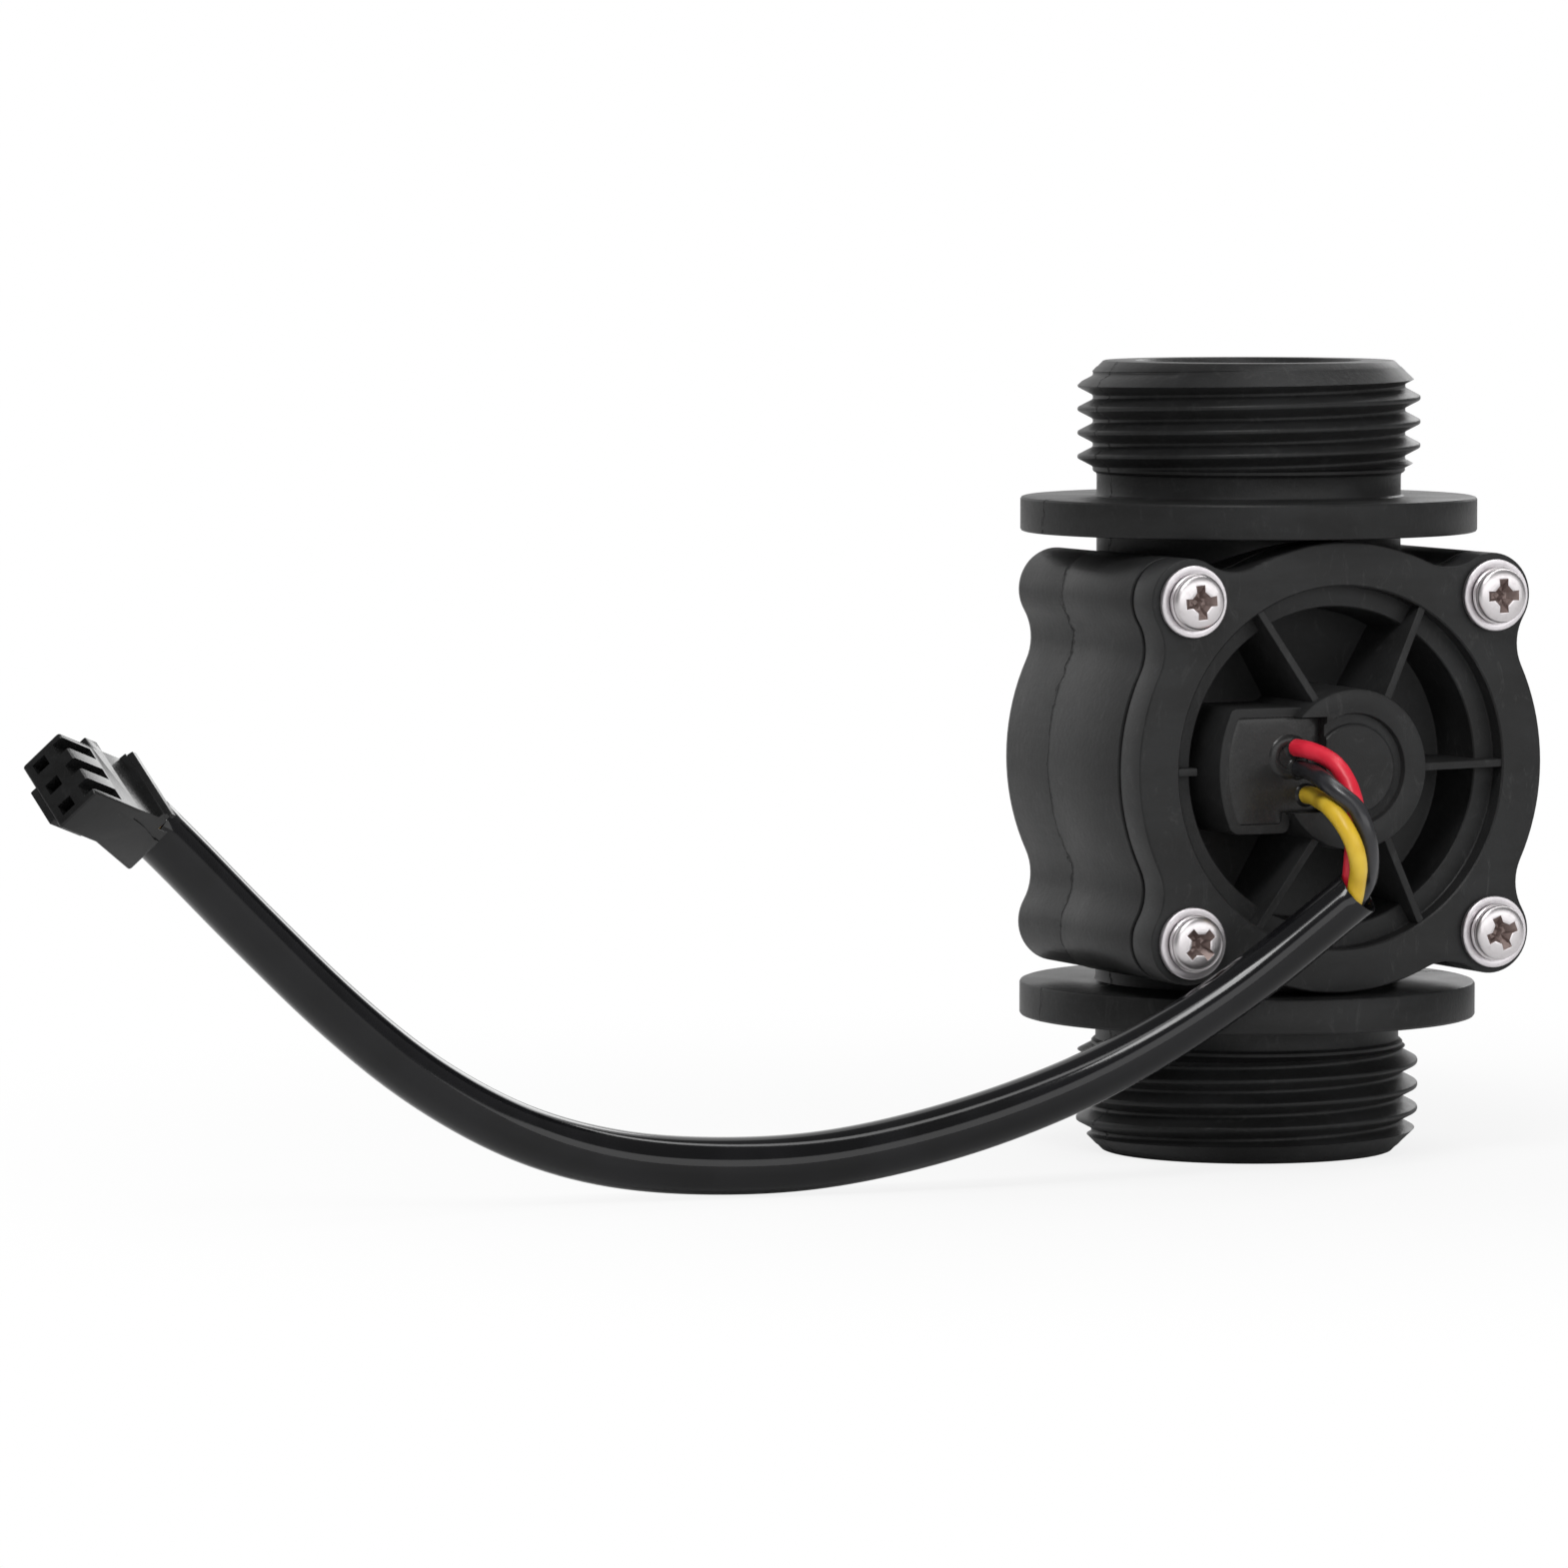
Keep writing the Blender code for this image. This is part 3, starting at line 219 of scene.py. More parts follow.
# Lead: the sleeve's route and the wires' loops, in millimetres
lead = {
    "wireRadius": 0.85, "lane": 1.08, "sleeveRadius": 2.7, "sleeveWall": 0.3, "rootHeights": (13.6, 17.2, 20.9),
    "pinch": 0.33, "pinchFrom": 14.0, "pinchTo": 48.0, "thin": 0.12, "thinFrom": 80.0, "thinTo": 105.0,
    "sleeveReach": 1.6, "cutFaces": (-0.45, -0.89, 0.1), "cutSlant": 22, "cutBack": 1.0, "softEdge": 0.06,
    "curveSteps": 12, "sleeveStep": 1.0, "wireStep": 0.7, "relaxRounds": 24, "joinStation": 2,
    "crimp": 7.3, "terminal": 4.6, "drop": 0.66, "pitch": 2.5,
    "route": (
        (-1.89, -28.39, 27.89), (-6.62, -27.2, 23.95), (-11.12, -26.0, 20.21), (-16.1, -25.2, 16.85),
        (-21.2, -24.3, 13.75), (-28.3, -22.9, 10.1), (-37.0, -21.4, 6.85), (-44.8, -20.0, 4.7),
        (-50.7, -18.8, 3.5), (-55.3, -17.9, 2.9), (-60.1, -17.2, 2.75), (-65.4, -16.6, 2.9),
        (-71.1, -16.4, 3.4), (-75.9, -16.6, 4.3), (-80.2, -17.0, 5.5), (-85.9, -17.8, 7.7),
        (-93.1, -19.2, 11.6), (-98.0, -20.2, 14.9), (-105.3, -22.0, 20.7), (-110.2, -23.3, 25.1),
        (-115.1, -24.8, 29.4), (-120.1, -26.3, 34.1), (-122.9, -27.2, 36.5),
    ),
    "wires": {
        "wireRed": {
            "node": "wire_red", "slot": "wire_red_pvc", "exit": (-5.64, 2.17), "around": 120, "contact": 1,
            "loop": (
                (-5.33, -22.96, 40.45), (-4.64, -24.8, 39.96), (-4.03, -26.4, 39.1), (-3.62, -27.52, 37.85),
                (-3.55, -28.4, 36.8), (-3.37, -28.9, 35.3), (-3.3, -29.0, 33.4), (-3.5, -28.8, 31.48),
                (-3.5, -28.5, 29.76), (-3.49, -28.1, 28.22),
            ),
        },
        "wireBlack": {
            "node": "wire_black", "slot": "wire_black_pvc", "exit": (-5.31, 0.16), "around": -120, "contact": 0,
            "loop": (
                (-5.44, -24.0, 38.38), (-6.14, -27.6, 37.92), (-5.5, -29.5, 36.8), (-4.32, -30.6, 35.55),
                (-3.83, -31.2, 34.2), (-3.23, -31.2, 32.59), (-2.75, -30.7, 31.22), (-2.16, -29.6, 29.7),
                (-1.73, -28.2, 28.17),
            ),
        },
        "wireYellow": {
            "node": "wire_yellow", "slot": "wire_yellow_pvc", "exit": (-4.5, -2.37), "around": 0, "contact": -1,
            "loop": (
                (-4.7, -22.6, 36.08), (-4.98, -25.1, 35.68), (-5.88, -28.2, 35.5), (-5.58, -30.2, 34.21),
                (-5.16, -31.2, 32.85), (-4.63, -31.4, 31.44), (-4.06, -30.9, 29.8), (-3.6, -29.7, 28.2),
            ),
        },
    },
}


def smoothPoints(route):
    # points of a smooth curve through the route's own points
    points = [Vector(point) for point in route]
    points = [2 * points[0] - points[1]] + points + [2 * points[-1] - points[-2]]
    curve = []
    for before, start, end, after in zip(points, points[1:], points[2:], points[3:]):
        for step in range(lead["curveSteps"]):
            t = step / lead["curveSteps"]
            bend = 2 * before - 5 * start + 4 * end - after
            twist = 3 * start - before - 3 * end + after
            curve.append(0.5 * (2 * start + (end - before) * t + bend * t**2 + twist * t**3))
    return curve + [points[-2]]


def along(curve, spacing):
    # evenly spaced points along a dense curve, with both of its ends
    total = sum((end - start).length for start, end in zip(curve, curve[1:]))
    count = max(1, round(total / spacing))
    places = [curve[0]]
    travelled, wanted = 0.0, total / count
    for start, end in zip(curve, curve[1:]):
        length = (end - start).length
        while travelled + length >= wanted and len(places) < count:
            places.append(start.lerp(end, (wanted - travelled) / length))
            wanted += total / count
        travelled += length
    return places + [curve[-1]]


def relaxed(points, rounds):
    # the same run of points with its small kinks evened out
    for _ in range(rounds):
        evened = [(before + at * 2 + after) / 4 for before, at, after in zip(points, points[1:], points[2:])]
        points = [points[0]] + evened + [points[-1]]
    return points


def lengthOf(points):
    return sum((end - start).length for start, end in zip(points, points[1:])) * mm


def tube(name, points, radii, roundness, caps):
    # a round bar along a run of points, with a radius for each
    curve = bpy.data.curves.new(name, "CURVE")
    curve.dimensions = "3D"
    curve.bevel_depth = mm
    curve.bevel_resolution = roundness
    curve.use_fill_caps = caps
    spline = curve.splines.new("POLY")
    spline.points.add(len(points) - 1)
    for point, place, radius in zip(spline.points, points, radii):
        point.co = (*(place * mm), 1)
        point.radius = radius
    spline.use_smooth = True
    piece = meshOf(name, curve)
    editMode(piece)
    bpy.ops.mesh.remove_doubles(threshold=weldGap)
    bpy.ops.mesh.normals_make_consistent(inside=False)
    objectMode()
    return smooth(piece, 40)


def ramp(value, start, end):
    # rises smoothly from 0 to 1 between start and end
    share = max(0.0, min(1.0, (value - start) / (end - start)))
    return share * share * (3 - 2 * share)


def sleeveRadius(place):
    # the sleeve draws in towards its mouth and a little towards the connector
    drawnIn = lead["pinch"] * (1 - ramp(place, lead["pinchFrom"], lead["pinchTo"]))
    return lead["sleeveRadius"] - drawnIn - lead["thin"] * ramp(place, lead["thinFrom"], lead["thinTo"])


def makeSleeve(stations):
    # a thin-walled tube with its mouth cut at a slant
    tucked = stations + [stations[-1] + (stations[-1] - stations[-2]).normalized() * lead["sleeveReach"]]
    sleeve = tube("leadSleeve", tucked, [sleeveRadius(number) for number in range(len(tucked))], 10, False)
    ahead = (stations[1] - stations[0]).normalized()
    forward = Vector(lead["cutFaces"])
    forward = (forward - ahead * forward.dot(ahead)).normalized()
    slant = math.radians(lead["cutSlant"])
    editMode(sleeve)
    bpy.ops.mesh.bisect(plane_co=(stations[0] + ahead * lead["cutBack"]) * mm,
                        plane_no=forward * math.sin(slant) - ahead * math.cos(slant), clear_outer=True)
    objectMode()
    modify(sleeve, "SOLIDIFY", thickness=lead["sleeveWall"] * mm, offset=-1)
    soften(sleeve, lead["softEdge"], 50)
    smooth(sleeve, 40)
    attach(sleeve, "body")
    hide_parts("lead_sleeve")
    return sleeve


def makeLead():
    stations = relaxed(along(smoothPoints(lead["route"]), lead["sleeveStep"]), lead["relaxRounds"])
    pieces = {"leadSleeve": (makeSleeve(stations), stations)}
    side = Vector((0, -1, 0))
    lanes = []
    for number, place in enumerate(stations):
        ahead = (stations[min(number + 1, len(stations) - 1)] - stations[max(number - 1, 0)]).normalized()
        side = (side - ahead * side.dot(ahead)).normalized()
        lanes.append((place, side.copy(), ahead.cross(side)))
    for name, wire in lead["wires"].items():
        across, up = wire["exit"]
        start = [faceFrame @ (Vector((across, up, height)) * mm) / mm for height in lead["rootHeights"]]
        turn = math.radians(wire["around"])
        inside = [
            place + lead["lane"] * (side * math.cos(turn) + over * math.sin(turn))
            for place, side, over in lanes[lead["joinStation"]:]
        ]
        contact = wire["contact"] * lead["pitch"]
        tail = [
            plugFrame @ (Vector((lead["crimp"] + back, contact, -lead["drop"])) * mm) / mm
            for back in (lead["terminal"] / 2, 0)
        ]
        loop = along(smoothPoints(start + list(wire["loop"]) + inside[:1]), lead["wireStep"])
        fan = along(smoothPoints([inside[-1]] + tail), lead["wireStep"])
        route = loop[:-1] + inside[:-1] + fan
        piece = tube(name, route, [lead["wireRadius"]] * len(route), 6, True)
        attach(piece, "body")
        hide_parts(wire["node"])
        pieces[name] = (piece, route)
    print("lead and wires laid")
    return pieces


leadPieces = makeLead()

# Housing: pipe, threads, flanges and the eared case
pipe = {
    "half": middle, "bore": 10.5, "neck": 14.75, "endFace": 14.0, "crest": 16.62, "root": 15.141,
    "pitch": 2.309, "threadLength": 10.6, "crestAngle": 155.8, "lowerCrest": 3.0, "upperCrest": 74.39,
    "flange": 22.15, "flangeIn": 21.85, "flangeOut": 25.25, "sides": 128,
}
case = {
    "radius": 21.55, "ear": 4.05, "fillet": 5.0, "screwOffset": 16.18, "back": -9.85, "front": 15.12,
    "chamber": 15.2, "chamberBack": -7.5, "seat": 16.9, "seatBack": 8.2, "boss": 3.2, "bossTop": -6.3,
    "nozzle": 6.5, "nozzleOffset": 3.6, "nozzleTop": 28.4, "inletEnd": 17.0, "outletStart": 48.4,
    "hole": 1.75, "holeEnd": 7.4, "grooveIn": 17.6, "grooveOut": 19.6, "grooveFloor": 13.8,
    "frontEdge": 0.14, "backEdge": 0.45, "backInset": 0.07, "overlap": 1.0,
}


def caseOutline():
    # the round case, with an ear at each screw and a hollow fillet on both sides of it
    reachEar = math.hypot(case["screwOffset"], case["screwOffset"])
    reachFillet = case["radius"] + case["fillet"]
    reach = case["ear"] + case["fillet"]

    def corner(a, b, opposite):
        # a triangle's angle between the sides a and b
        return math.degrees(math.acos((a * a + b * b - opposite * opposite) / (2 * a * b)))

    spread = corner(reachEar, reachFillet, reach)
    half = 180 - corner(reachEar, reach, reachFillet)
    points = []
    for ear in (45, 135, 225, 315):
        before, after = polar(reachFillet, ear - spread), polar(reachFillet, ear + spread)
        points += arc((0, 0), case["radius"], ear - 90 + spread, ear - spread, 18)
        points += arc(before, case["fillet"], ear - spread + 180, ear - half + 180, 9)[1:-1]
        points += arc(polar(reachEar, ear), case["ear"], ear - half, ear + half, 24)
        points += arc(after, case["fillet"], ear + half + 180, ear + spread + 180, 9)[1:-1]
    return points


def screwSpots():
    reach = case["screwOffset"]
    return {
        "top_left": (-reach, reach), "top_right": (reach, reach),
        "lower_left": (-reach, -reach), "lower_right": (reach, -reach),
    }


def screwHoles(low, high):
    stations = [(case["hole"], low), (case["hole"], high)]
    return [
        put(turned("hole", stations, 24), Matrix.Translation((across * mm, up * mm, 0)))
        for across, up in screwSpots().values()
    ]


def pipeStations():
    # chamfered end, thread root, neck and round-edged flange, then the same mirrored below the middle
    end, face, root, neck = (pipe[name] for name in ("half", "endFace", "root", "neck"))
    rim, outer, inner = (pipe[name] for name in ("flange", "flangeOut", "flangeIn"))
    rootEnd = end - pipe["threadLength"]
    upper = [
        (face, end), (face + 0.16, end - 0.06), (root, end - 1.05), (root, rootEnd - 0.05),
        (neck + 0.25, rootEnd - 0.2), (neck + 0.07, rootEnd - 0.3), (neck, rootEnd - 0.5),
        (neck, outer + 0.5), (neck + 0.08, outer + 0.2), (neck + 0.3, outer + 0.03), (neck + 0.65, outer),
        (rim - 0.35, outer), (rim - 0.12, outer - 0.07), (rim, outer - 0.25),
        (rim, inner + 0.25), (rim - 0.1, inner + 0.07), (rim - 0.3, inner),
        (neck + 0.45, inner), (neck + 0.1, inner - 0.1), (neck, inner - 0.35),
    ]
    lower = [(radius, middle - up) for radius, up in reversed(upper)]
    return [(radius, middle + up) for radius, up in upper] + lower


def threadRidge(name, low, high, crestHeight):
    # one ridge section, screwed up past both ends of its stretch
    crest, root = pipe["crest"], pipe["root"]
    upperHalf = [
        (crest, 0.08), (crest - 0.05, 0.19), (crest - 0.16, 0.27), (crest - 1.37, 0.90), (crest - 1.45, 0.99),
        (root, 1.06), (root - 0.341, 1.1),
    ]
    section = [(radius, -up) for radius, up in reversed(upperHalf)] + upperHalf
    start = crestHeight - pipe["pitch"] * math.ceil((crestHeight - low) / pipe["pitch"] + 1)
    turns = math.ceil((high - start) / pipe["pitch"] + 1)
    selectNone()
    bpy.ops.mesh.primitive_circle_add(vertices=len(section), radius=mm)
    piece = bpy.context.object
    piece.name = name
    for vertex, (radius, up) in zip(piece.data.vertices, section):
        vertex.co = (radius * mm, 0, (start + up) * mm)
    piece.rotation_euler.z = math.radians(pipe["crestAngle"])
    put(piece, Matrix())
    modify(piece, "SCREW", axis="Z", angle=2 * math.pi, screw_offset=pipe["pitch"] * mm, iterations=turns,
           steps=pipe["sides"], render_steps=pipe["sides"], use_merge_vertices=False)
    return closeUp(piece)


def threadRoom(name, upper):
    # where the ridge may be: a chamfered start and a short run-out
    end = pipe["threadLength"]
    stations = [(14.2, 0.0), (15.2, 1.06), (16.7, 2.5), (16.7, end - 1.05), (14.7, end)]
    if upper:
        stations = [(radius, 2 * pipe["half"] - up) for radius, up in reversed(stations)]
    return turned(name, stations, pipe["sides"])


def makeHousing():
    housing = turned("housingShell", pipeStations(), pipe["sides"])
    tall = 2 * pipe["half"]
    lower = threadRidge("lowerThread", 0, pipe["threadLength"], pipe["lowerCrest"])
    combine(lower, "INTERSECT", [threadRoom("lowerRoom", False)])
    upper = threadRidge("upperThread", tall - pipe["threadLength"], tall, pipe["upperCrest"])
    combine(upper, "INTERSECT", [threadRoom("upperRoom", True)])
    outline = caseOutline()
    front = put(flat("caseFront", outline, 0.0, case["front"], case["frontEdge"]), faceFrame)
    back = flat("caseBack", outline, case["back"], case["overlap"], case["backEdge"], case["backInset"])
    put(back, faceFrame)
    combine(housing, "UNION", [lower, upper, front, back])
    past = case["front"] + 1
    chamber = put(turned("chamber", [
        (case["boss"], case["bossTop"]), (case["boss"], case["chamberBack"]),
        (case["chamber"], case["chamberBack"]), (case["chamber"], case["seatBack"]),
        (case["seat"], case["seatBack"]), (case["seat"], past),
    ]), faceFrame)
    bore = pipe["bore"]
    mouth = [(bore, 0.5), (bore + 0.25, 0.2), (bore + 0.8, -0.3)]  # radius and depth under the end face
    bores = [
        turned("inletBore", [(bore, case["inletEnd"]), *mouth][::-1]),
        turned("outletBore", [(bore, case["outletStart"]), *[(radius, tall - deep) for radius, deep in mouth]]),
        put(turned("nozzle", [(case["nozzle"], case["inletEnd"] - 1), (case["nozzle"], case["nozzleTop"])], 64),
            Matrix.Translation((case["nozzleOffset"] * mm, 0, 0))),
    ]
    groove = put(turned("sealGroove", [
        (case["grooveIn"], case["grooveFloor"]), (case["grooveOut"], case["grooveFloor"]),
        (case["grooveOut"], past), (case["grooveIn"], past),
    ], loop=True), faceFrame)
    holes = [put(hole, faceFrame) for hole in screwHoles(case["holeEnd"], past)]
    combine(housing, "DIFFERENCE", [chamber, *bores, groove, *holes])
    smooth(housing, 30)
    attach(housing, "body")
    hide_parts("housing")
    print("housing made")
    return housing


# Cover: an eared plate, its cup, ledge, ribs, hub and pocket
cover = {
    "back": 15.6, "front": 19.8, "edge": 0.22, "plug": 16.6, "plugEnd": 8.5, "bossEnd": 7.3,
    "recess": 17.35, "ledge": 17.8, "ledgeIn": 15.3,
    "cup": 14.9, "cupFloor": 11.2, "hub": 7.7, "hubFront": 22.4, "dimple": 5.45, "nub": 4.3, "dimpleDeep": 0.65,
    "rib": 0.75, "ribAngles": (0, 60, 120, 240, 300), "ribHub": 21.8, "ribRim": 19.5, "ribEdge": 0.1,
    "pocketRadius": 13.6, "pocketHigh": 6.0, "pocketWall": 0.9, "pocketIn": 3.0, "pocketStep": 4.0,
    "pocketCorner": 6.1, "pocketEnd": 4.4, "pocketFront": 20.8, "pocketBase": 10.0,
    "pocketEdge": 0.14, "outerRound": 0.9, "innerRound": 0.5,
}


def ribOutline():
    # from inside the hub to the recess's rim, with a foot that steps up over the ledge
    inner, outer, step = cover["hub"] - 0.9, cover["recess"] + 0.35, cover["ledgeIn"] + 0.3
    low, over = cover["cupFloor"] - 0.5, cover["ledge"] - 0.3
    return [(inner, low), (step, low), (step, over), (outer, over), (outer, cover["ribRim"]),
            (cover["hub"] - 0.3, cover["ribHub"]), (inner, cover["ribHub"])]


def roundedCorner(before, at, after, radius, steps=5):
    # an outline's corner, rounded
    a, b, c = Vector(before), Vector(at), Vector(after)
    toA, toC = (a - b).normalized(), (c - b).normalized()
    half = math.acos(max(-1, min(1, toA.dot(toC)))) / 2
    start, end = b + toA * radius / math.tan(half), b + toC * radius / math.tan(half)
    centre = b + (toA + toC).normalized() * radius / math.sin(half)
    points = []
    for step in range(steps + 1):
        spoke = (start - centre).normalized().slerp((end - centre).normalized(), step / steps)
        points.append(tuple(centre + spoke * radius))
    return points


def pocketOutline(inset, right, corner, step, rounding):
    # the pocket's round left end and its stepped right end, inset from its outside
    radius, high = cover["pocketRadius"] - inset, cover["pocketHigh"] - inset
    swing = math.degrees(math.asin(high / radius))
    left = arc((0, 0), radius, 180 - swing, 180 + swing, 14)
    rim = left[1:-1]
    topLeft = roundedCorner((-right, high), left[0], rim[0], rounding)
    lowLeft = roundedCorner(rim[-1], left[-1], (-corner, -high), rounding * 1.3)
    lowRight = roundedCorner(left[-1], (-corner, -high), (-corner, -step), rounding)
    return topLeft + rim[1:-1] + lowLeft + lowRight + [(-corner, -step), (-right, -step), (-right, high)]


def makeCover():
    plate = flat("coverPlate", caseOutline(), cover["back"], cover["front"], cover["edge"])
    plugBody = turned("coverPlug", [
        (cover["plug"] - 0.3, cover["plugEnd"]), (cover["plug"], cover["plugEnd"] + 0.3),
        (cover["plug"], cover["back"] + 1),
    ])
    boss = turned("frontBoss", [(case["boss"], cover["bossEnd"]), (case["boss"], cover["plugEnd"] + 1)], 48)
    past = cover["hubFront"] + 1
    cup, floor, ledge, wall = cover["cup"], cover["cupFloor"], cover["ledge"], cover["recess"]
    recess = turned("recess", [
        (cup - 0.3, floor), (cup - 0.05, floor + 0.1), (cup + 0.03, floor + 0.35),
        (cover["ledgeIn"], ledge - 0.12), (cover["ledgeIn"] + 0.12, ledge), (wall - 0.1, ledge),
        (wall, ledge + 0.1), (wall, cover["front"] - 0.15), (wall + 0.15, cover["front"]), (wall + 0.9, past),
    ], 128)
    combine(plate, "UNION", [plugBody, boss])
    combine(plate, "DIFFERENCE", [recess])
    rim, face, dimple, nub = cover["hub"], cover["hubFront"], cover["dimple"], cover["nub"]
    sunk = face - cover["dimpleDeep"]
    hub = turned("hub", [
        (rim + 0.1, floor - 0.8), (rim + 0.1, floor + 0.3), (rim, face - 0.3), (rim - 0.09, face - 0.09),
        (rim - 0.3, face), (dimple + 0.12, face), (dimple - 0.05, face - 0.08), (dimple - 0.2, sunk),
        (nub + 0.2, sunk), (nub + 0.08, sunk + 0.06), (nub, sunk + 0.4), (nub - 0.15, sunk + 0.52),
    ])
    ribs = []
    half = cover["rib"] / 2
    for angle in cover["ribAngles"]:
        stand = Matrix.Rotation(math.radians(angle), 4, "Z") @ quarterTurn
        ribs.append(put(flat("rib", ribOutline(), -half, half, cover["ribEdge"]), stand))
    stub = box("ribStub", (-wall - 0.4, -half, ledge - 0.4), (-cover["ledgeIn"], half, cover["ribRim"]),
               cover["ribEdge"])
    combine(plate, "UNION", [hub, stub, *ribs])
    inset, corner, step = cover["pocketWall"], cover["pocketCorner"], cover["pocketStep"]
    outside = pocketOutline(0, cover["pocketEnd"], corner, step, cover["outerRound"])
    walls = flat("pocketWalls", outside, floor - 0.6, cover["pocketFront"], cover["pocketEdge"])
    combine(plate, "UNION", [walls])
    inside = pocketOutline(inset, cover["pocketIn"], corner + inset, step, cover["innerRound"])
    combine(plate, "DIFFERENCE", [flat("pocketRoom", inside, cover["pocketBase"], past)])
    combine(plate, "DIFFERENCE", screwHoles(cover["back"] - 1, cover["front"] + 1))
    plate.name = "coverShell"
    put(plate, faceFrame)
    smooth(plate, 30)
    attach(plate, "body")
    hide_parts("front_cover")
    print("cover made")
    return plate


# Potting: resin that fills the pocket, swells a little and creeps up the wires
potting = {
    "base": 14.2, "gap": 0.02, "front": 20.72, "corner": 0.45,
    "swell": ((0.0, 0.0), (0.1, 0.06), (0.25, 0.09), (0.45, 0.11), (0.8, 0.13), (1.4, 0.14), (2.0, 0.14)),
    "collar": (
        (1.75, 20.5), (1.75, 20.72), (1.35, 20.76), (1.15, 20.84), (1.0, 20.98), (0.9, 21.16), (0.75, 21.16),
        (0.75, 20.5),
    ),
    "beadAt": (-6.29, 1.29),
    "bead": (
        (2.25, 20.6), (2.22, 20.74), (2.12, 20.88), (1.95, 21.01), (1.7, 21.1), (1.45, 21.12), (1.2, 21.05),
        (1.02, 20.9), (0.95, 20.6),
    ),
}


def layered(name, rings):
    # an outline extruded through rings of as many points each
    selectNone()
    outline, height = rings[0]
    bpy.ops.mesh.primitive_circle_add(vertices=len(outline), radius=mm)
    piece = bpy.context.object
    piece.name = name
    for vertex, (across, up) in zip(piece.data.vertices, outline):
        vertex.co = (across * mm, up * mm, height * mm)
    editMode(piece)
    for nextOutline, nextHeight in rings[1:]:
        bpy.ops.mesh.extrude_region_move(TRANSFORM_OT_translate={"value": (0, 0, (nextHeight - height) * mm)})
        shape = bmesh.from_edit_mesh(piece.data)
        for vertex in [vertex for vertex in shape.verts if vertex.select]:
            gaps = [math.hypot(across * mm - vertex.co.x, up * mm - vertex.co.y) for across, up in outline]
            across, up = nextOutline[gaps.index(min(gaps))]
            vertex.co.x, vertex.co.y = across * mm, up * mm
        bmesh.update_edit_mesh(piece.data)
        outline, height = nextOutline, nextHeight
    objectMode()
    return closeUp(piece)


def makePotting():
    rings = []
    for share, rise in ((0.0, potting["base"] - potting["front"]), *potting["swell"]):
        off = potting["gap"] + share
        inset = cover["pocketWall"] + off
        right, corner, step = cover["pocketIn"] + off, cover["pocketCorner"] + inset, cover["pocketStep"] - off
        rings.append((pocketOutline(inset, right, corner, step, potting["corner"]), potting["front"] + rise))
    resin = layered("pottingFill", rings)
    mounds = [("collar", 40, wire["exit"]) for wire in lead["wires"].values()]
    mounds.append(("bead", 48, potting["beadAt"]))
    collars = []
    for name, sides, (across, up) in mounds:
        mound = turned(name, list(potting[name]), sides, loop=True)
        collars.append(put(mound, Matrix.Translation((across * mm, up * mm, 0))))
    selectOnly(resin, *collars)
    bpy.ops.object.join()
    put(resin, faceFrame)
    smooth(resin, 50)
    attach(resin, "body")
    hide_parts("potting")
    print("potting poured")
    return resin


# Screws: pan heads on lock and flat washers
screw = {
    "turns": {"top_left": 5, "top_right": 1, "lower_left": 42, "lower_right": 22},
    "span": 4.05, "arm": 0.86, "deep": 1.1, "flare": 1.3, "top": 22.1, "well": 1.62, "tip": 0.3,
    "wellDeep": 1.9, "softEdge": 0.05, "recessReach": 1.95,
    "head": (
        (0.65, 8.4), (1.45, 9.2), (1.45, 20.8), (2.62, 20.8), (2.72, 20.88), (2.72, 21.12), (2.62, 21.2),
        (2.3, 21.22), (2.3, 21.3), (2.5, 21.32), (2.6, 21.42), (2.6, 21.58), (2.54, 21.74), (2.4, 21.88),
        (2.2, 21.98), (1.85, 22.06), (1.3, 22.1),
    ),
    "washer": (
        (1.76, 20.02), (3.35, 20.0), (3.43, 20.08), (3.43, 20.5), (3.35, 20.6), (3.1, 20.63), (2.9, 20.6),
        (1.76, 20.6),
    ),
}


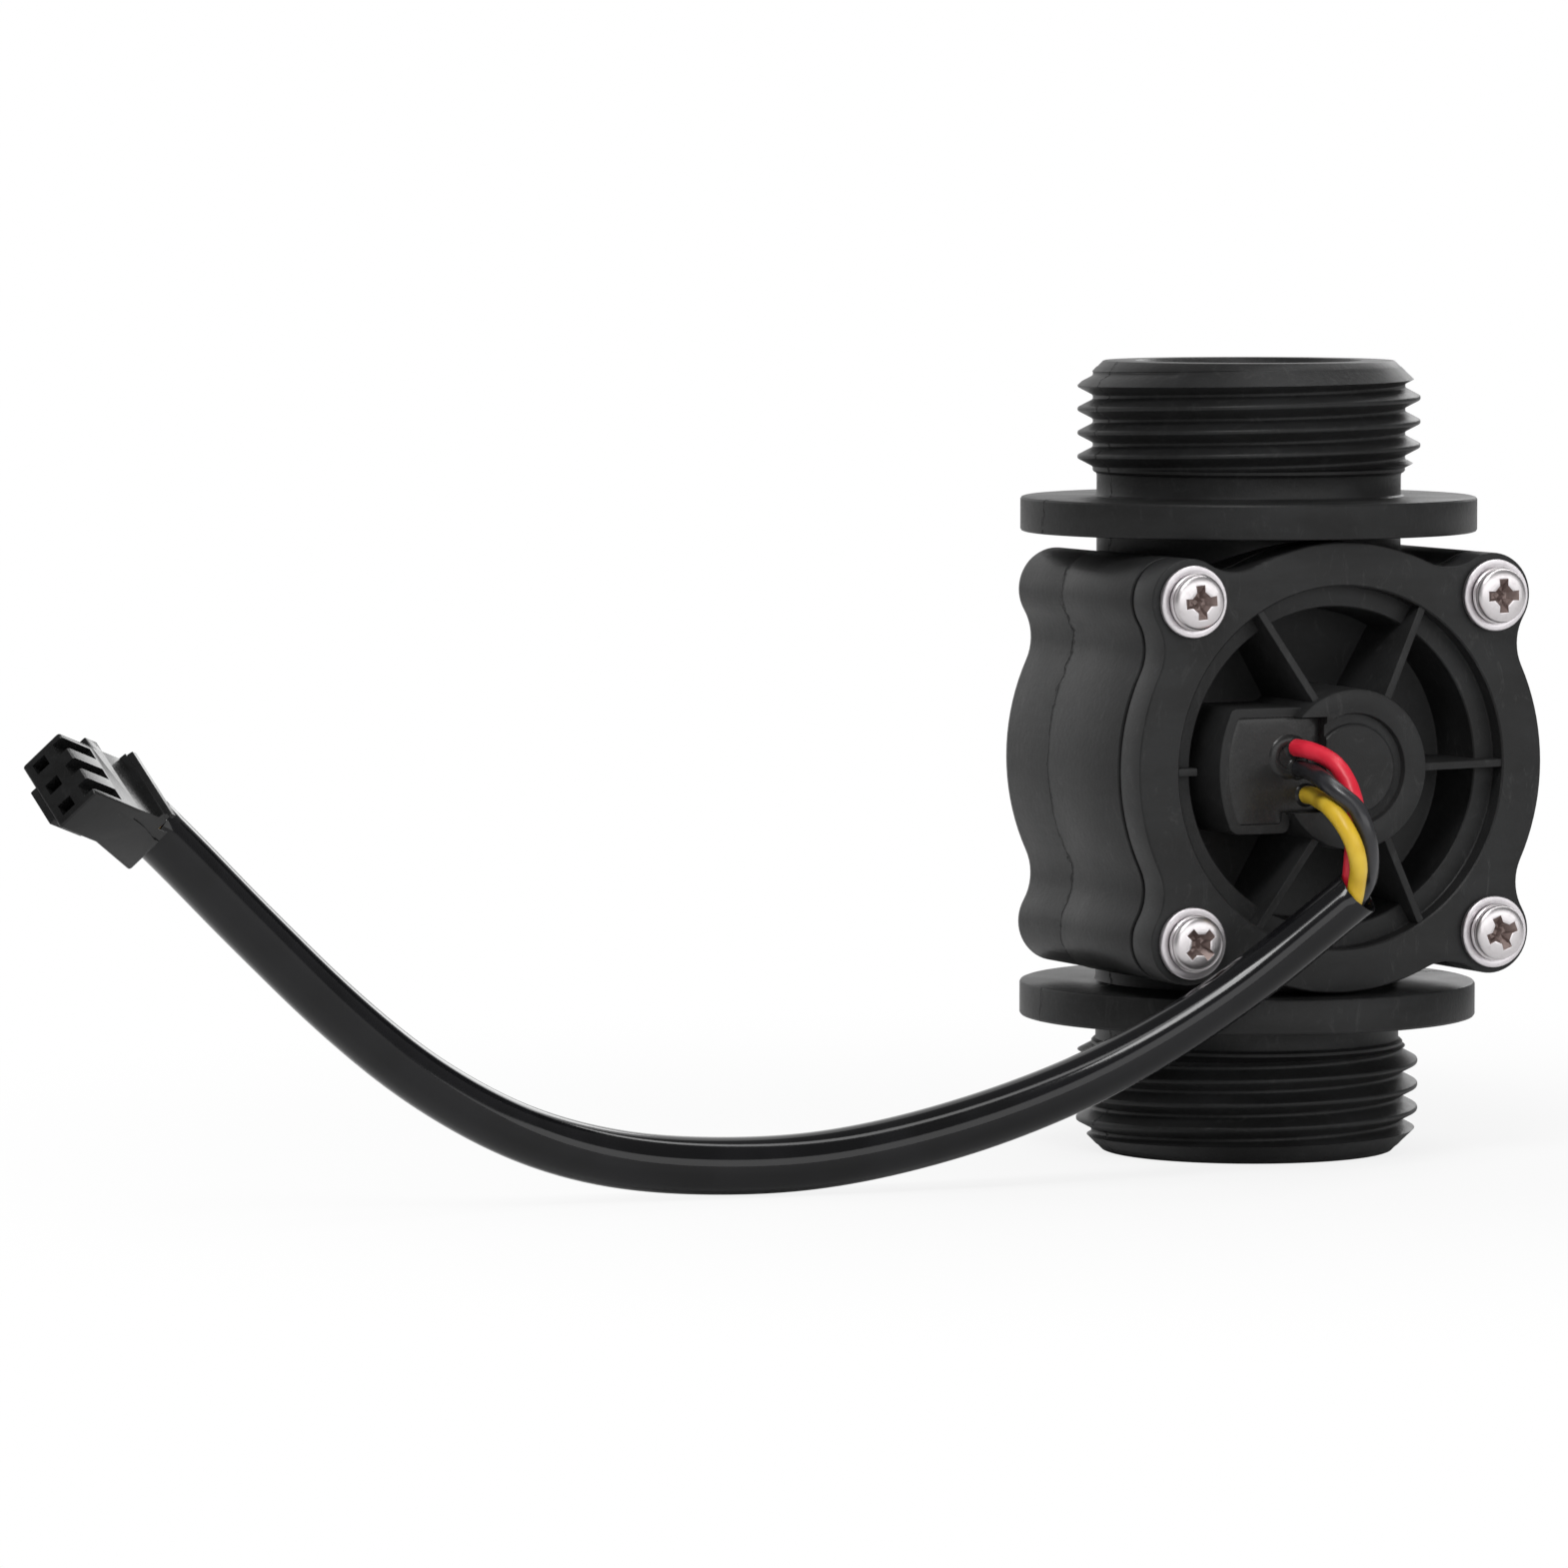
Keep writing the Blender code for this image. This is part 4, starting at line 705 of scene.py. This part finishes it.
def makeScrews():
    top, foot = screw["top"], screw["top"] - screw["deep"]
    long, wide = screw["span"] / 2, screw["arm"] / 2
    head = turned("screwModel", list(screw["head"]), 64)
    arms = []
    for turn in (0, 90):
        arm = box("arm", (-long, -wide, foot), (long, wide, top + 0.5))
        editMode(arm)
        bpy.ops.mesh.bisect(plane_co=(0, 0, 0), plane_no=(1, 0, 0))
        pick(lambda vertex: abs(vertex.co.x) > 0.1 * mm)
        bpy.ops.transform.resize(value=(1, screw["flare"], 1), center_override=(0, 0, top * mm))
        pick(lambda vertex: vertex.co.z < (top - 0.5) * mm)
        bpy.ops.transform.resize(value=(0.4, 0.6, 1), center_override=(0, 0, foot * mm))
        objectMode()
        arms.append(put(arm, Matrix.Rotation(math.radians(turn), 4, "Z")))
    selectNone()
    bpy.ops.mesh.primitive_cone_add(vertices=4, radius1=screw["tip"] * mm, radius2=screw["well"] * mm,
                                    depth=screw["wellDeep"] * mm, location=(0, 0, (top - 0.65) * mm))
    well = put(bpy.context.object, Matrix())
    combine(head, "DIFFERENCE", [*arms, well], "EXACT")
    soften(head, screw["softEdge"], 40)
    smooth(head, 35)
    washer = turned("washerModel", list(screw["washer"]), 64, loop=True)
    smooth(washer, 35)
    made = []
    for place, (across, up) in screwSpots().items():
        spot = faceFrame @ Matrix.Translation((across * mm, up * mm, 0))
        for model, kind in ((head, "screw"), (washer, "washer")):
            selectOnly(model)
            bpy.ops.object.duplicate()
            copy = bpy.context.object
            copy.name = kind + place.title().replace("_", "")
            put(copy, spot @ Matrix.Rotation(math.radians(screw["turns"][place]), 4, "Z"))
            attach(copy, "body")
            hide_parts(kind + "_" + place)
            kind + "_steel"
            made.append((copy, kind, spot.translation))
    bpy.data.objects.remove(head)
    bpy.data.objects.remove(washer)
    print("screws and washers made")
    return made


# Connector: three square mouths, three slots on top, a lip over the tail
shell = {
    "length": 12.5, "wide": 7.5, "top": 2.33, "tailDrop": 3.76, "ramp": 5.6, "mouth": (1.1, 1.5), "slot": 1.3,
    "slotLength": 4.4, "slotDeep": 1.1, "cavity": 1.95, "lipStart": 9.9, "lipLength": 0.75, "lipRise": 1.0,
    "tailStep": 1.2, "throat": 2.75, "throatFloor": 3.25, "soft": 0.3, "edge": 0.22, "cheekLow": 0.9,
    "proud": 0.25, "reliefDeep": 0.22, "key": ((4.9, 3.35, 1.23), (6.8, 4.85, 2.33)),
    "keel": ((0.2, -2.6, -3.03), (5.0, 1.3, -2.03)),
    "relief": ((6.9, 1.3), (9.2, 0.91), (11.6, 0.14), (13.5, 0.1), (13.5, 3.0), (6.9, 3.0)),
}


def makeConnector():
    half, tail, top = shell["wide"] / 2, shell["length"], shell["top"]
    sideView = [(0, -top), (shell["ramp"], -top), (tail, -shell["tailDrop"]), (tail, top), (0, top)]
    corners = list(zip([sideView[-1]] + sideView, sideView, sideView[1:] + sideView[:1]))
    softView = [point for corner in corners for point in roundedCorner(*corner, shell["soft"], 3)]
    body = put(flat("connectorShell", softView, -half, half, shell["edge"]), quarterTurn)
    start, end = shell["lipStart"], shell["lipStart"] + shell["lipLength"]
    lipTop, cheekLow, proud = top + shell["lipRise"], shell["cheekLow"], half + shell["proud"]
    lipView = [(start, top - 0.4), (end, top - 0.4), (end + 0.3, lipTop), (start + 0.5, lipTop)]
    lip = put(flat("lip", lipView, -proud, proud, 0.16), quarterTurn)
    cheekView = [
        (start - 0.2, cheekLow + 0.5), (start + 0.5, cheekLow), (end + 0.3, cheekLow), (end + 0.3, top + 0.5),
        (start, top + 0.5),
    ]
    cheeks = put(flat("cheeks", cheekView, -proud, proud, 0.1), quarterTurn)
    key = box("key", *shell["key"], 0.15)
    keel = box("keel", *shell["keel"], 0.12)
    combine(body, "UNION", [cheeks, lip, key, keel])
    wide, throat = lead["pitch"] + shell["cavity"] / 2, shell["throat"]
    cutters = [
        box("room", (tail - 3.5, -wide, -top + 0.5), (tail + 1, wide, top - 0.5)),
        box("step", (end + 0.45, -half - 1, shell["tailStep"]), (tail + 1, half + 1, top + 2)),
        put(flat("relief", shell["relief"], half - shell["reliefDeep"], half + 1), quarterTurn),
        box("throat", (end + 0.1, -throat, -shell["throatFloor"]), (tail + 1, throat, top - 0.45)),
    ]
    cell, slot, level = shell["cavity"] / 2, shell["slot"] / 2, -lead["drop"]
    mouthWide, mouthHigh = (size / 2 for size in shell["mouth"])
    for number in (-1, 0, 1):
        at = number * lead["pitch"]
        cutters += [
            box("cell", (2.1, at - cell, level - cell), (tail - 2.5, at + cell, level + cell)),
            box("mouth", (-1, at - mouthWide, level - mouthHigh), (3.4, at + mouthWide, level + mouthHigh)),
            box("slot", (-1, at - slot, top - shell["slotDeep"]), (shell["slotLength"], at + slot, top + 1)),
        ]
    combine(body, "DIFFERENCE", cutters)
    put(body, plugFrame)
    smooth(body, 30)
    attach(body, "body")
    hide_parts("connector_housing")
    print("connector made")
    return body


housingShell = makeHousing()
coverShell = makeCover()
pottingFill = makePotting()
fasteners = makeScrews()
connectorShell = makeConnector()


class Signal:
    # a socket whose sums become Math nodes
    def __init__(self, finish, socket):
        self.finish, self.socket = finish, socket

    def maths(self, operation, first, second=0.0):
        return self.finish.add("ShaderNodeMath", {"operation": operation}, {0: first, 1: second})

    def __add__(self, other):
        return self.maths("ADD", self, other)

    def __sub__(self, other):
        return self.maths("SUBTRACT", self, other)

    def __mul__(self, other):
        return self.maths("MULTIPLY", self, other)

    def __abs__(self):
        return self.maths("ABSOLUTE", self)

    __radd__ = __add__


class Finish:
    # a material built node by node
    def __init__(self, name):
        self.material = bpy.data.materials.new(name)
        self.material.use_nodes = True
        self.tree = self.material.node_tree
        self.tree.nodes.clear()
        self.place = self.add("ShaderNodeTexCoord", out="Object")

    def add(self, kind, settings=None, values=None, out=0):
        node = self.tree.nodes.new(kind)
        for name, value in (settings or {}).items():
            setattr(node, name, value)
        for name, value in (values or {}).items():
            socket = node.inputs[name]
            if isinstance(value, Signal):
                self.tree.links.new(value.socket, socket)
            else:
                socket.default_value = value
        return Signal(self, node.outputs[out])

    def noise(self, scale, detail=2.0, rough=0.5, stretch=None, warp=0.0):
        place = self.place
        if stretch is not None:
            place = self.add("ShaderNodeMapping", None, {"Vector": place, "Scale": stretch})
        values = {"Vector": place, "Scale": scale, "Detail": detail, "Roughness": rough, "Distortion": warp}
        return self.add("ShaderNodeTexNoise", None, values)

    def across(self, axis):
        return self.add("ShaderNodeSeparateXYZ", None, {0: self.place}, axis)

    def reach(self, place, keep):
        # how far a place is from the origin, along the kept axes only
        kept = self.add("ShaderNodeVectorMath", {"operation": "MULTIPLY"}, {0: place, 1: keep})
        return self.add("ShaderNodeVectorMath", {"operation": "LENGTH"}, {0: kept}, "Value")

    def spread(self, value, low, high, newLow, newHigh):
        values = {"Value": value, "From Min": low, "From Max": high, "To Min": newLow, "To Max": newHigh}
        return self.add("ShaderNodeMapRange", {"interpolation_type": "SMOOTHSTEP"}, values)

    def blend(self, share, first, second):
        return self.add("ShaderNodeMix", {"data_type": "RGBA"}, {0: share, 6: first, 7: second}, 2)

    def bump(self, height, distance):
        return self.add("ShaderNodeBump", None, {"Height": height, "Distance": distance * mm})

    def close(self, surface):
        output = self.tree.nodes.new("ShaderNodeOutputMaterial")
        self.tree.links.new(surface.socket, output.inputs["Surface"])
        return self.material

    def shade(self, values):
        return self.close(self.add("ShaderNodeBsdfPrincipled", None, values))


def grey(value, warmth=0.0):
    return (value * (1 + warmth), value, value * (1 - warmth), 1)


def nylon(name, look):
    # moulded glass-filled nylon: mottled satin black, with a mould seam where the look has one, bumped as a
    # groove and painted darker as its shade
    finish = Finish(name)
    cloud = finish.noise(look["cloud"], 4, 0.6)
    flow = finish.noise(look["cloud"] * 0.5, 3, 0.5, stretch=(1, 1, 3.5), warp=1.5)
    grain = finish.noise(look["grain"], 5, 0.7)
    pits = finish.noise(look["grain"] * 0.35, 3, 0.6)
    tone = finish.spread(cloud * 0.6 + flow * 0.4, 0.35, 0.65, 0, 1)
    colour = finish.blend(tone, grey(look["dark"]), grey(look["light"], -0.02))
    rub = finish.noise(scuffs["scale"], 7, 0.8, stretch=scuffs["stretch"], warp=1.5)
    scuff = finish.spread(rub, scuffs["from"], scuffs["to"], 0, scuffs["share"])
    colour = finish.blend(scuff, colour, grey(look["light"] * scuffs["tone"]))
    rough = look["rough"] + (grain - 0.5) * 0.16 + (cloud - 0.5) * look["roughDrift"]
    height = grain * 0.5 + pits * 0.8
    if look["seam"]:
        wander = (finish.noise(130, 7, 0.7) - 0.5) * seam["wander"]
        tremble = (finish.noise(700, 5, 0.8) - 0.5) * seam["tremble"]
        off = abs(finish.across("Y") + wander + tremble)
        seamGrooveAndShade = finish.spread(off, 0.0, seam["wide"], 1, 0)
        fade = finish.spread(finish.noise(260, 2), 0.35, 0.55, seam["faintest"], 1)
        # painted shade: the seam's line is darkened in colour as the shade in its groove, besides the real bump
        # below
        colour = finish.blend(seamGrooveAndShade * fade, colour, grey(seam["tone"]))
        height = height - seamGrooveAndShade * fade * seam["deep"]
    return finish.shade({
        "Base Color": colour, "Roughness": rough, "Specular IOR Level": look["gloss"],
        "Normal": finish.bump(height, look["bump"]),
    })


def vinyl(name, look):
    # smooth extruded insulation, slightly wavy along its length
    finish = Finish(name)
    drift = finish.noise(look["wave"], 2, 0.5)
    speck = finish.noise(5200, 4, 0.6)
    colour = finish.blend(finish.spread(drift, 0.35, 0.65, 0, 1), (*look["dark"], 1), (*look["light"], 1))
    rough = look["rough"] + (drift - 0.5) * 0.1 + (speck - 0.5) * 0.06
    return finish.shade({
        "Base Color": colour, "Roughness": rough, "Normal": finish.bump(drift + speck * 0.05, look["bump"]),
        "Specular IOR Level": look["gloss"], "Coat Weight": look["coat"], "Coat Roughness": look["coatRough"],
    })


def castResin(name, look):
    # cast resin with a slightly uneven, half-glossy skin
    finish = Finish(name)
    drift = finish.noise(look["wave"], 3, 0.5)
    grain = finish.noise(look["grain"], 4, 0.6)
    colour = finish.blend(drift, grey(look["dark"]), grey(look["light"]))
    rough = look["rough"] + (drift - 0.5) * 0.12 + (grain - 0.5) * 0.06
    return finish.shade({
        "Base Color": colour, "Roughness": rough, "Specular IOR Level": look["gloss"],
        "Normal": finish.bump(drift + grain * 0.12, look["bump"]),
    })


def plated(name, centre, look):
    # bright plated steel with turning rings about its own centre
    finish = Finish(name)
    back = (-centre.x, 0, -centre.z)
    local = finish.add("ShaderNodeMapping", None, {"Vector": finish.place, "Location": back})
    values = {"W": finish.reach(local, (1, 0, 1)) * look["rings"], "Scale": 1.0, "Detail": 3.0}
    rings = finish.add("ShaderNodeTexNoise", {"noise_dimensions": "1D"}, values)
    cloud = finish.noise(1500, 4, 0.6)
    tarnish = finish.spread(cloud, 0.5, 0.75, 0, 1)
    colour = finish.blend(tarnish * 0.5, (*look["bright"], 1), (*look["dull"], 1))
    rough = look["rough"] + (rings - 0.5) * 0.14 + (cloud - 0.5) * 0.14
    normal = finish.bump(rings * 0.6 + cloud * 0.7, look["bump"])
    return finish.shade({"Base Color": colour, "Metallic": 1.0, "Roughness": rough, "Normal": normal})


def recessFinish():
    # the cross recess: thin plating over a warm brown shadow
    finish = Finish("screwRecess")
    cloud = finish.noise(2600, 4, 0.6)
    colour = finish.blend(cloud, (0.16, 0.11, 0.10, 1), (0.34, 0.27, 0.25, 1))
    return finish.shade({
        "Base Color": colour, "Metallic": 0.55, "Roughness": 0.5 + (cloud - 0.5) * 0.3,
        "Normal": finish.bump(cloud, 0.03),
    })


def plain(name, dark, light, rough, metal=0.0, scale=900, bump=0.02):
    # the hidden working parts: a toned, slightly uneven surface
    finish = Finish(name)
    cloud = finish.noise(scale, 4, 0.6)
    grain = finish.noise(scale * 6, 3, 0.6)
    colour = finish.blend(cloud, (*dark, 1), (*light, 1))
    return finish.shade({
        "Base Color": colour, "Metallic": metal, "Roughness": rough + (grain - 0.5) * 0.15,
        "Normal": finish.bump(cloud * 0.5 + grain * 0.5, bump),
    })


def laminateFinish():
    # lacquered board with faint copper lines under the green
    finish = Finish("boardLaminate")
    weave = finish.add("ShaderNodeTexBrick", None, {
        "Vector": finish.place, "Scale": 900.0,
        "Color1": (0.02, 0.16, 0.06, 1), "Color2": (0.03, 0.22, 0.08, 1), "Mortar": (0.05, 0.30, 0.12, 1),
    })
    return finish.shade({"Base Color": weave, "Roughness": 0.35 + (finish.noise(1200) - 0.5) * 0.2})


scuffs = {"scale": 420, "stretch": (1, 1, 0.4), "from": 0.54, "to": 0.68, "share": 0.45, "tone": 2.2}
# the seam's tone is the colour of painted shade along its line; deep is its groove's bump
seam = {"wander": 0.004, "tremble": 0.0022, "wide": 0.00024, "faintest": 0.45, "tone": 0.002, "deep": 14.0}
brightWire = {"wave": 300, "rough": 0.4, "bump": 0.06, "gloss": 0.4, "coat": 0.15, "coatRough": 0.3}
looks = {
    "housing": {
        "cloud": 160, "grain": 5200, "dark": 0.0125, "light": 0.0185, "rough": 0.4, "roughDrift": 0.22,
        "bump": 0.03, "gloss": 0.2, "seam": True,
    },
    "cover": {
        "cloud": 140, "grain": 5200, "dark": 0.016, "light": 0.022, "rough": 0.45, "roughDrift": 0.2,
        "bump": 0.025, "gloss": 0.2, "seam": False,
    },
    "connector": {
        "cloud": 380, "grain": 6500, "dark": 0.008, "light": 0.012, "rough": 0.22, "roughDrift": 0.12,
        "bump": 0.01, "gloss": 0.3, "seam": False,
    },
    "sleeve": {
        "wave": 130, "dark": (0.004, 0.004, 0.0045), "light": (0.007, 0.007, 0.008), "rough": 0.11,
        "bump": 0.02, "gloss": 0.28, "coat": 0.12, "coatRough": 0.05,
    },
    "red": {**brightWire, "dark": (0.66, 0.012, 0.035), "light": (0.80, 0.03, 0.06)},
    "yellow": {**brightWire, "dark": (0.66, 0.42, 0.02), "light": (0.76, 0.52, 0.045)},
    "black": {
        "wave": 300, "dark": (0.012, 0.012, 0.014), "light": (0.022, 0.022, 0.026), "rough": 0.34,
        "bump": 0.08, "gloss": 0.5, "coat": 0.2, "coatRough": 0.2,
    },
    "resin": {
        "wave": 420, "grain": 3800, "dark": 0.014, "light": 0.022, "rough": 0.27, "bump": 0.06, "gloss": 0.32,
    },
    "screw": {
        "bright": (0.69, 0.66, 0.67), "dull": (0.54, 0.5, 0.51), "rough": 0.35, "bump": 0.006, "rings": 9000,
    },
    "washer": {
        "bright": (0.68, 0.65, 0.67), "dull": (0.54, 0.5, 0.53), "rough": 0.36, "bump": 0.012, "rings": 9000,
    },
}


def dress(piece, *materials):
    piece.data.materials.clear()
    for material in materials:
        piece.data.materials.append(material)


def paintAll():
    dress(housingShell, nylon("housingNylon", looks["housing"]))
    dress(coverShell, nylon("coverNylon", looks["cover"]))
    dress(connectorShell, nylon("connectorNylon", looks["connector"]))
    dress(pottingFill, castResin("pottingResin", looks["resin"]))
    recess = recessFinish()
    for piece, kind, centre in fasteners:
        dress(piece, plated(piece.name + "Plate", centre, looks[kind]), recess)
        if kind == "screw":
            for face in piece.data.polygons:
                off = (face.center - centre) / mm
                if math.hypot(off.x, off.z) < screw["recessReach"] and 15 < -off.y < screw["top"] - 0.06:
                    face.material_index = 1
    strands = {"leadSleeve": "sleeve", "wireRed": "red", "wireBlack": "black", "wireYellow": "yellow"}
    for name, look in strands.items():
        dress(leadPieces[name][0], vinyl(name + "Vinyl", looks[look]))
    brass = plain("tinnedBrass", (0.60, 0.52, 0.34), (0.80, 0.74, 0.58), 0.3, 1.0, 1400, 0.01)
    bearing = plain("bearingPlastic", (0.68, 0.64, 0.54), (0.80, 0.77, 0.68), 0.38)
    chip = plain("chipPlastic", (0.02, 0.02, 0.02), (0.04, 0.04, 0.04), 0.5, 0.0, 2000)
    hidden = {
        "o_ring": plain("sealRubber", (0.012, 0.012, 0.012), (0.03, 0.03, 0.03), 0.65),
        "impeller": plain("wheelPlastic", (0.62, 0.62, 0.60), (0.76, 0.76, 0.73), 0.4),
        "wheel_bush": bearing, "thrust_washer_back": bearing, "thrust_washer_front": bearing,
        "magnet_ring": plain("magnetFerrite", (0.03, 0.03, 0.032), (0.08, 0.08, 0.08), 0.55, 0.3, 2200, 0.04),
        "axle_pin": plain("pinSteel", (0.6, 0.6, 0.6), (0.8, 0.8, 0.8), 0.22, 1.0, 3000, 0.004),
        "sensor_board": laminateFinish(), "hall_element": chip, "chip_resistor": chip,
        "chip_capacitor": plain("capacitorCeramic", (0.36, 0.26, 0.16), (0.5, 0.38, 0.25), 0.5, 0.0, 2500),
        "terminal_a": brass, "terminal_b": brass, "terminal_c": brass,
    }
    for name, material in hidden.items():
        dress(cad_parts[name], material)
    print("materials laid on")


paintAll()

# Cords: each one's diameter, exit, real length and far end are worked out and not kept
for name, (piece, route) in leadPieces.items():
    diameter = 2 * (lead["sleeveRadius"] if name == "leadSleeve" else lead["wireRadius"]) * mm
    tuple(route[0] * mm)
    lengthOf(route)
    [tuple(point * mm) for point in route]

# Stage: a white floor that keeps a faint shadow, a white sky and soft lamps
stage = {
    "floorSize": 8.0, "floorDrop": 0.00002, "near": 0.03, "far": 0.16, "keepShadow": 0.16, "sky": 0.22,
    "lamps": {
        "topBox": {"place": (0.0, -0.13, 0.85), "aim": (0.0, -0.13, 0.04), "roll": 34,
            "size": (2.0, 0.13), "power": 3.6},
        "frontBox": {"place": (0.38, -1.7, 0.45), "aim": (0.1, 0.0, 0.04), "roll": 0,
            "size": (2.9, 0.8), "power": 13.4},
        "keyBox": {"place": (-0.49, -0.70, 1.0), "aim": (-0.02, -0.02, 0.03), "roll": 0,
            "size": (0.36, 0.36), "power": 5.6},
        "backBox": {"place": (0.1, 1.3, 0.75), "aim": (0.0, 0.0, 0.3), "roll": 0,
            "size": (3.4, 1.5), "power": 12.0},
        "plugBox": {"place": (0.886, 0.936, 0.561), "aim": (-0.134, -0.034, 0.042), "roll": 0,
            "size": (0.5, 0.5), "power": 2.2},
    },
}


def makeStage():
    selectNone()
    bpy.ops.mesh.primitive_plane_add(size=stage["floorSize"], location=(0, 0, -stage["floorDrop"]))
    floor = bpy.context.object
    floor.name = "paleFloor"
    put(floor, Matrix())
    finish = Finish("floorWhite")
    reach = finish.reach(finish.place, (1, 1, 0))
    seen = finish.add("ShaderNodeLightPath", out="Is Camera Ray")
    colour = finish.blend(finish.noise(6, 2), grey(0.78), grey(0.82))
    soft = finish.add("ShaderNodeBsdfDiffuse", None, {"Color": colour})
    glow = finish.add("ShaderNodeEmission", None, {"Color": (1, 1, 1, 1), "Strength": 1.0})
    share = seen * finish.spread(reach, stage["near"], stage["far"], 1 - stage["keepShadow"], 1)
    dress(floor, finish.close(finish.add("ShaderNodeMixShader", None, {0: share, 1: soft, 2: glow})))
    world = bpy.data.worlds.new("whiteRoom")
    bpy.context.scene.world = world
    world.use_nodes = True
    tree = world.node_tree
    background = tree.nodes["Background"]
    path = tree.nodes.new("ShaderNodeLightPath")
    strength = tree.nodes.new("ShaderNodeMapRange")
    strength.inputs["To Min"].default_value = stage["sky"]
    strength.inputs["To Max"].default_value = 1.0
    tree.links.new(path.outputs["Is Camera Ray"], strength.inputs["Value"])
    tree.links.new(strength.outputs[0], background.inputs["Strength"])
    background.inputs["Color"].default_value = (1, 1, 1, 1)
    for name, lamp in stage["lamps"].items():
        place, aim = Vector(lamp["place"]), Vector(lamp["aim"])
        roll = Matrix.Rotation(math.radians(lamp["roll"]), 3, "Z")
        turn = (aim - place).to_track_quat("-Z", "Y").to_matrix() @ roll
        bpy.ops.object.light_add(type="AREA", location=place, rotation=turn.to_euler())
        light = bpy.context.object
        light.name = name
        light.data.shape = "RECTANGLE"
        light.data.size, light.data.size_y = lamp["size"]
        light.data.energy = lamp["power"]
    print("stage set")


makeStage()
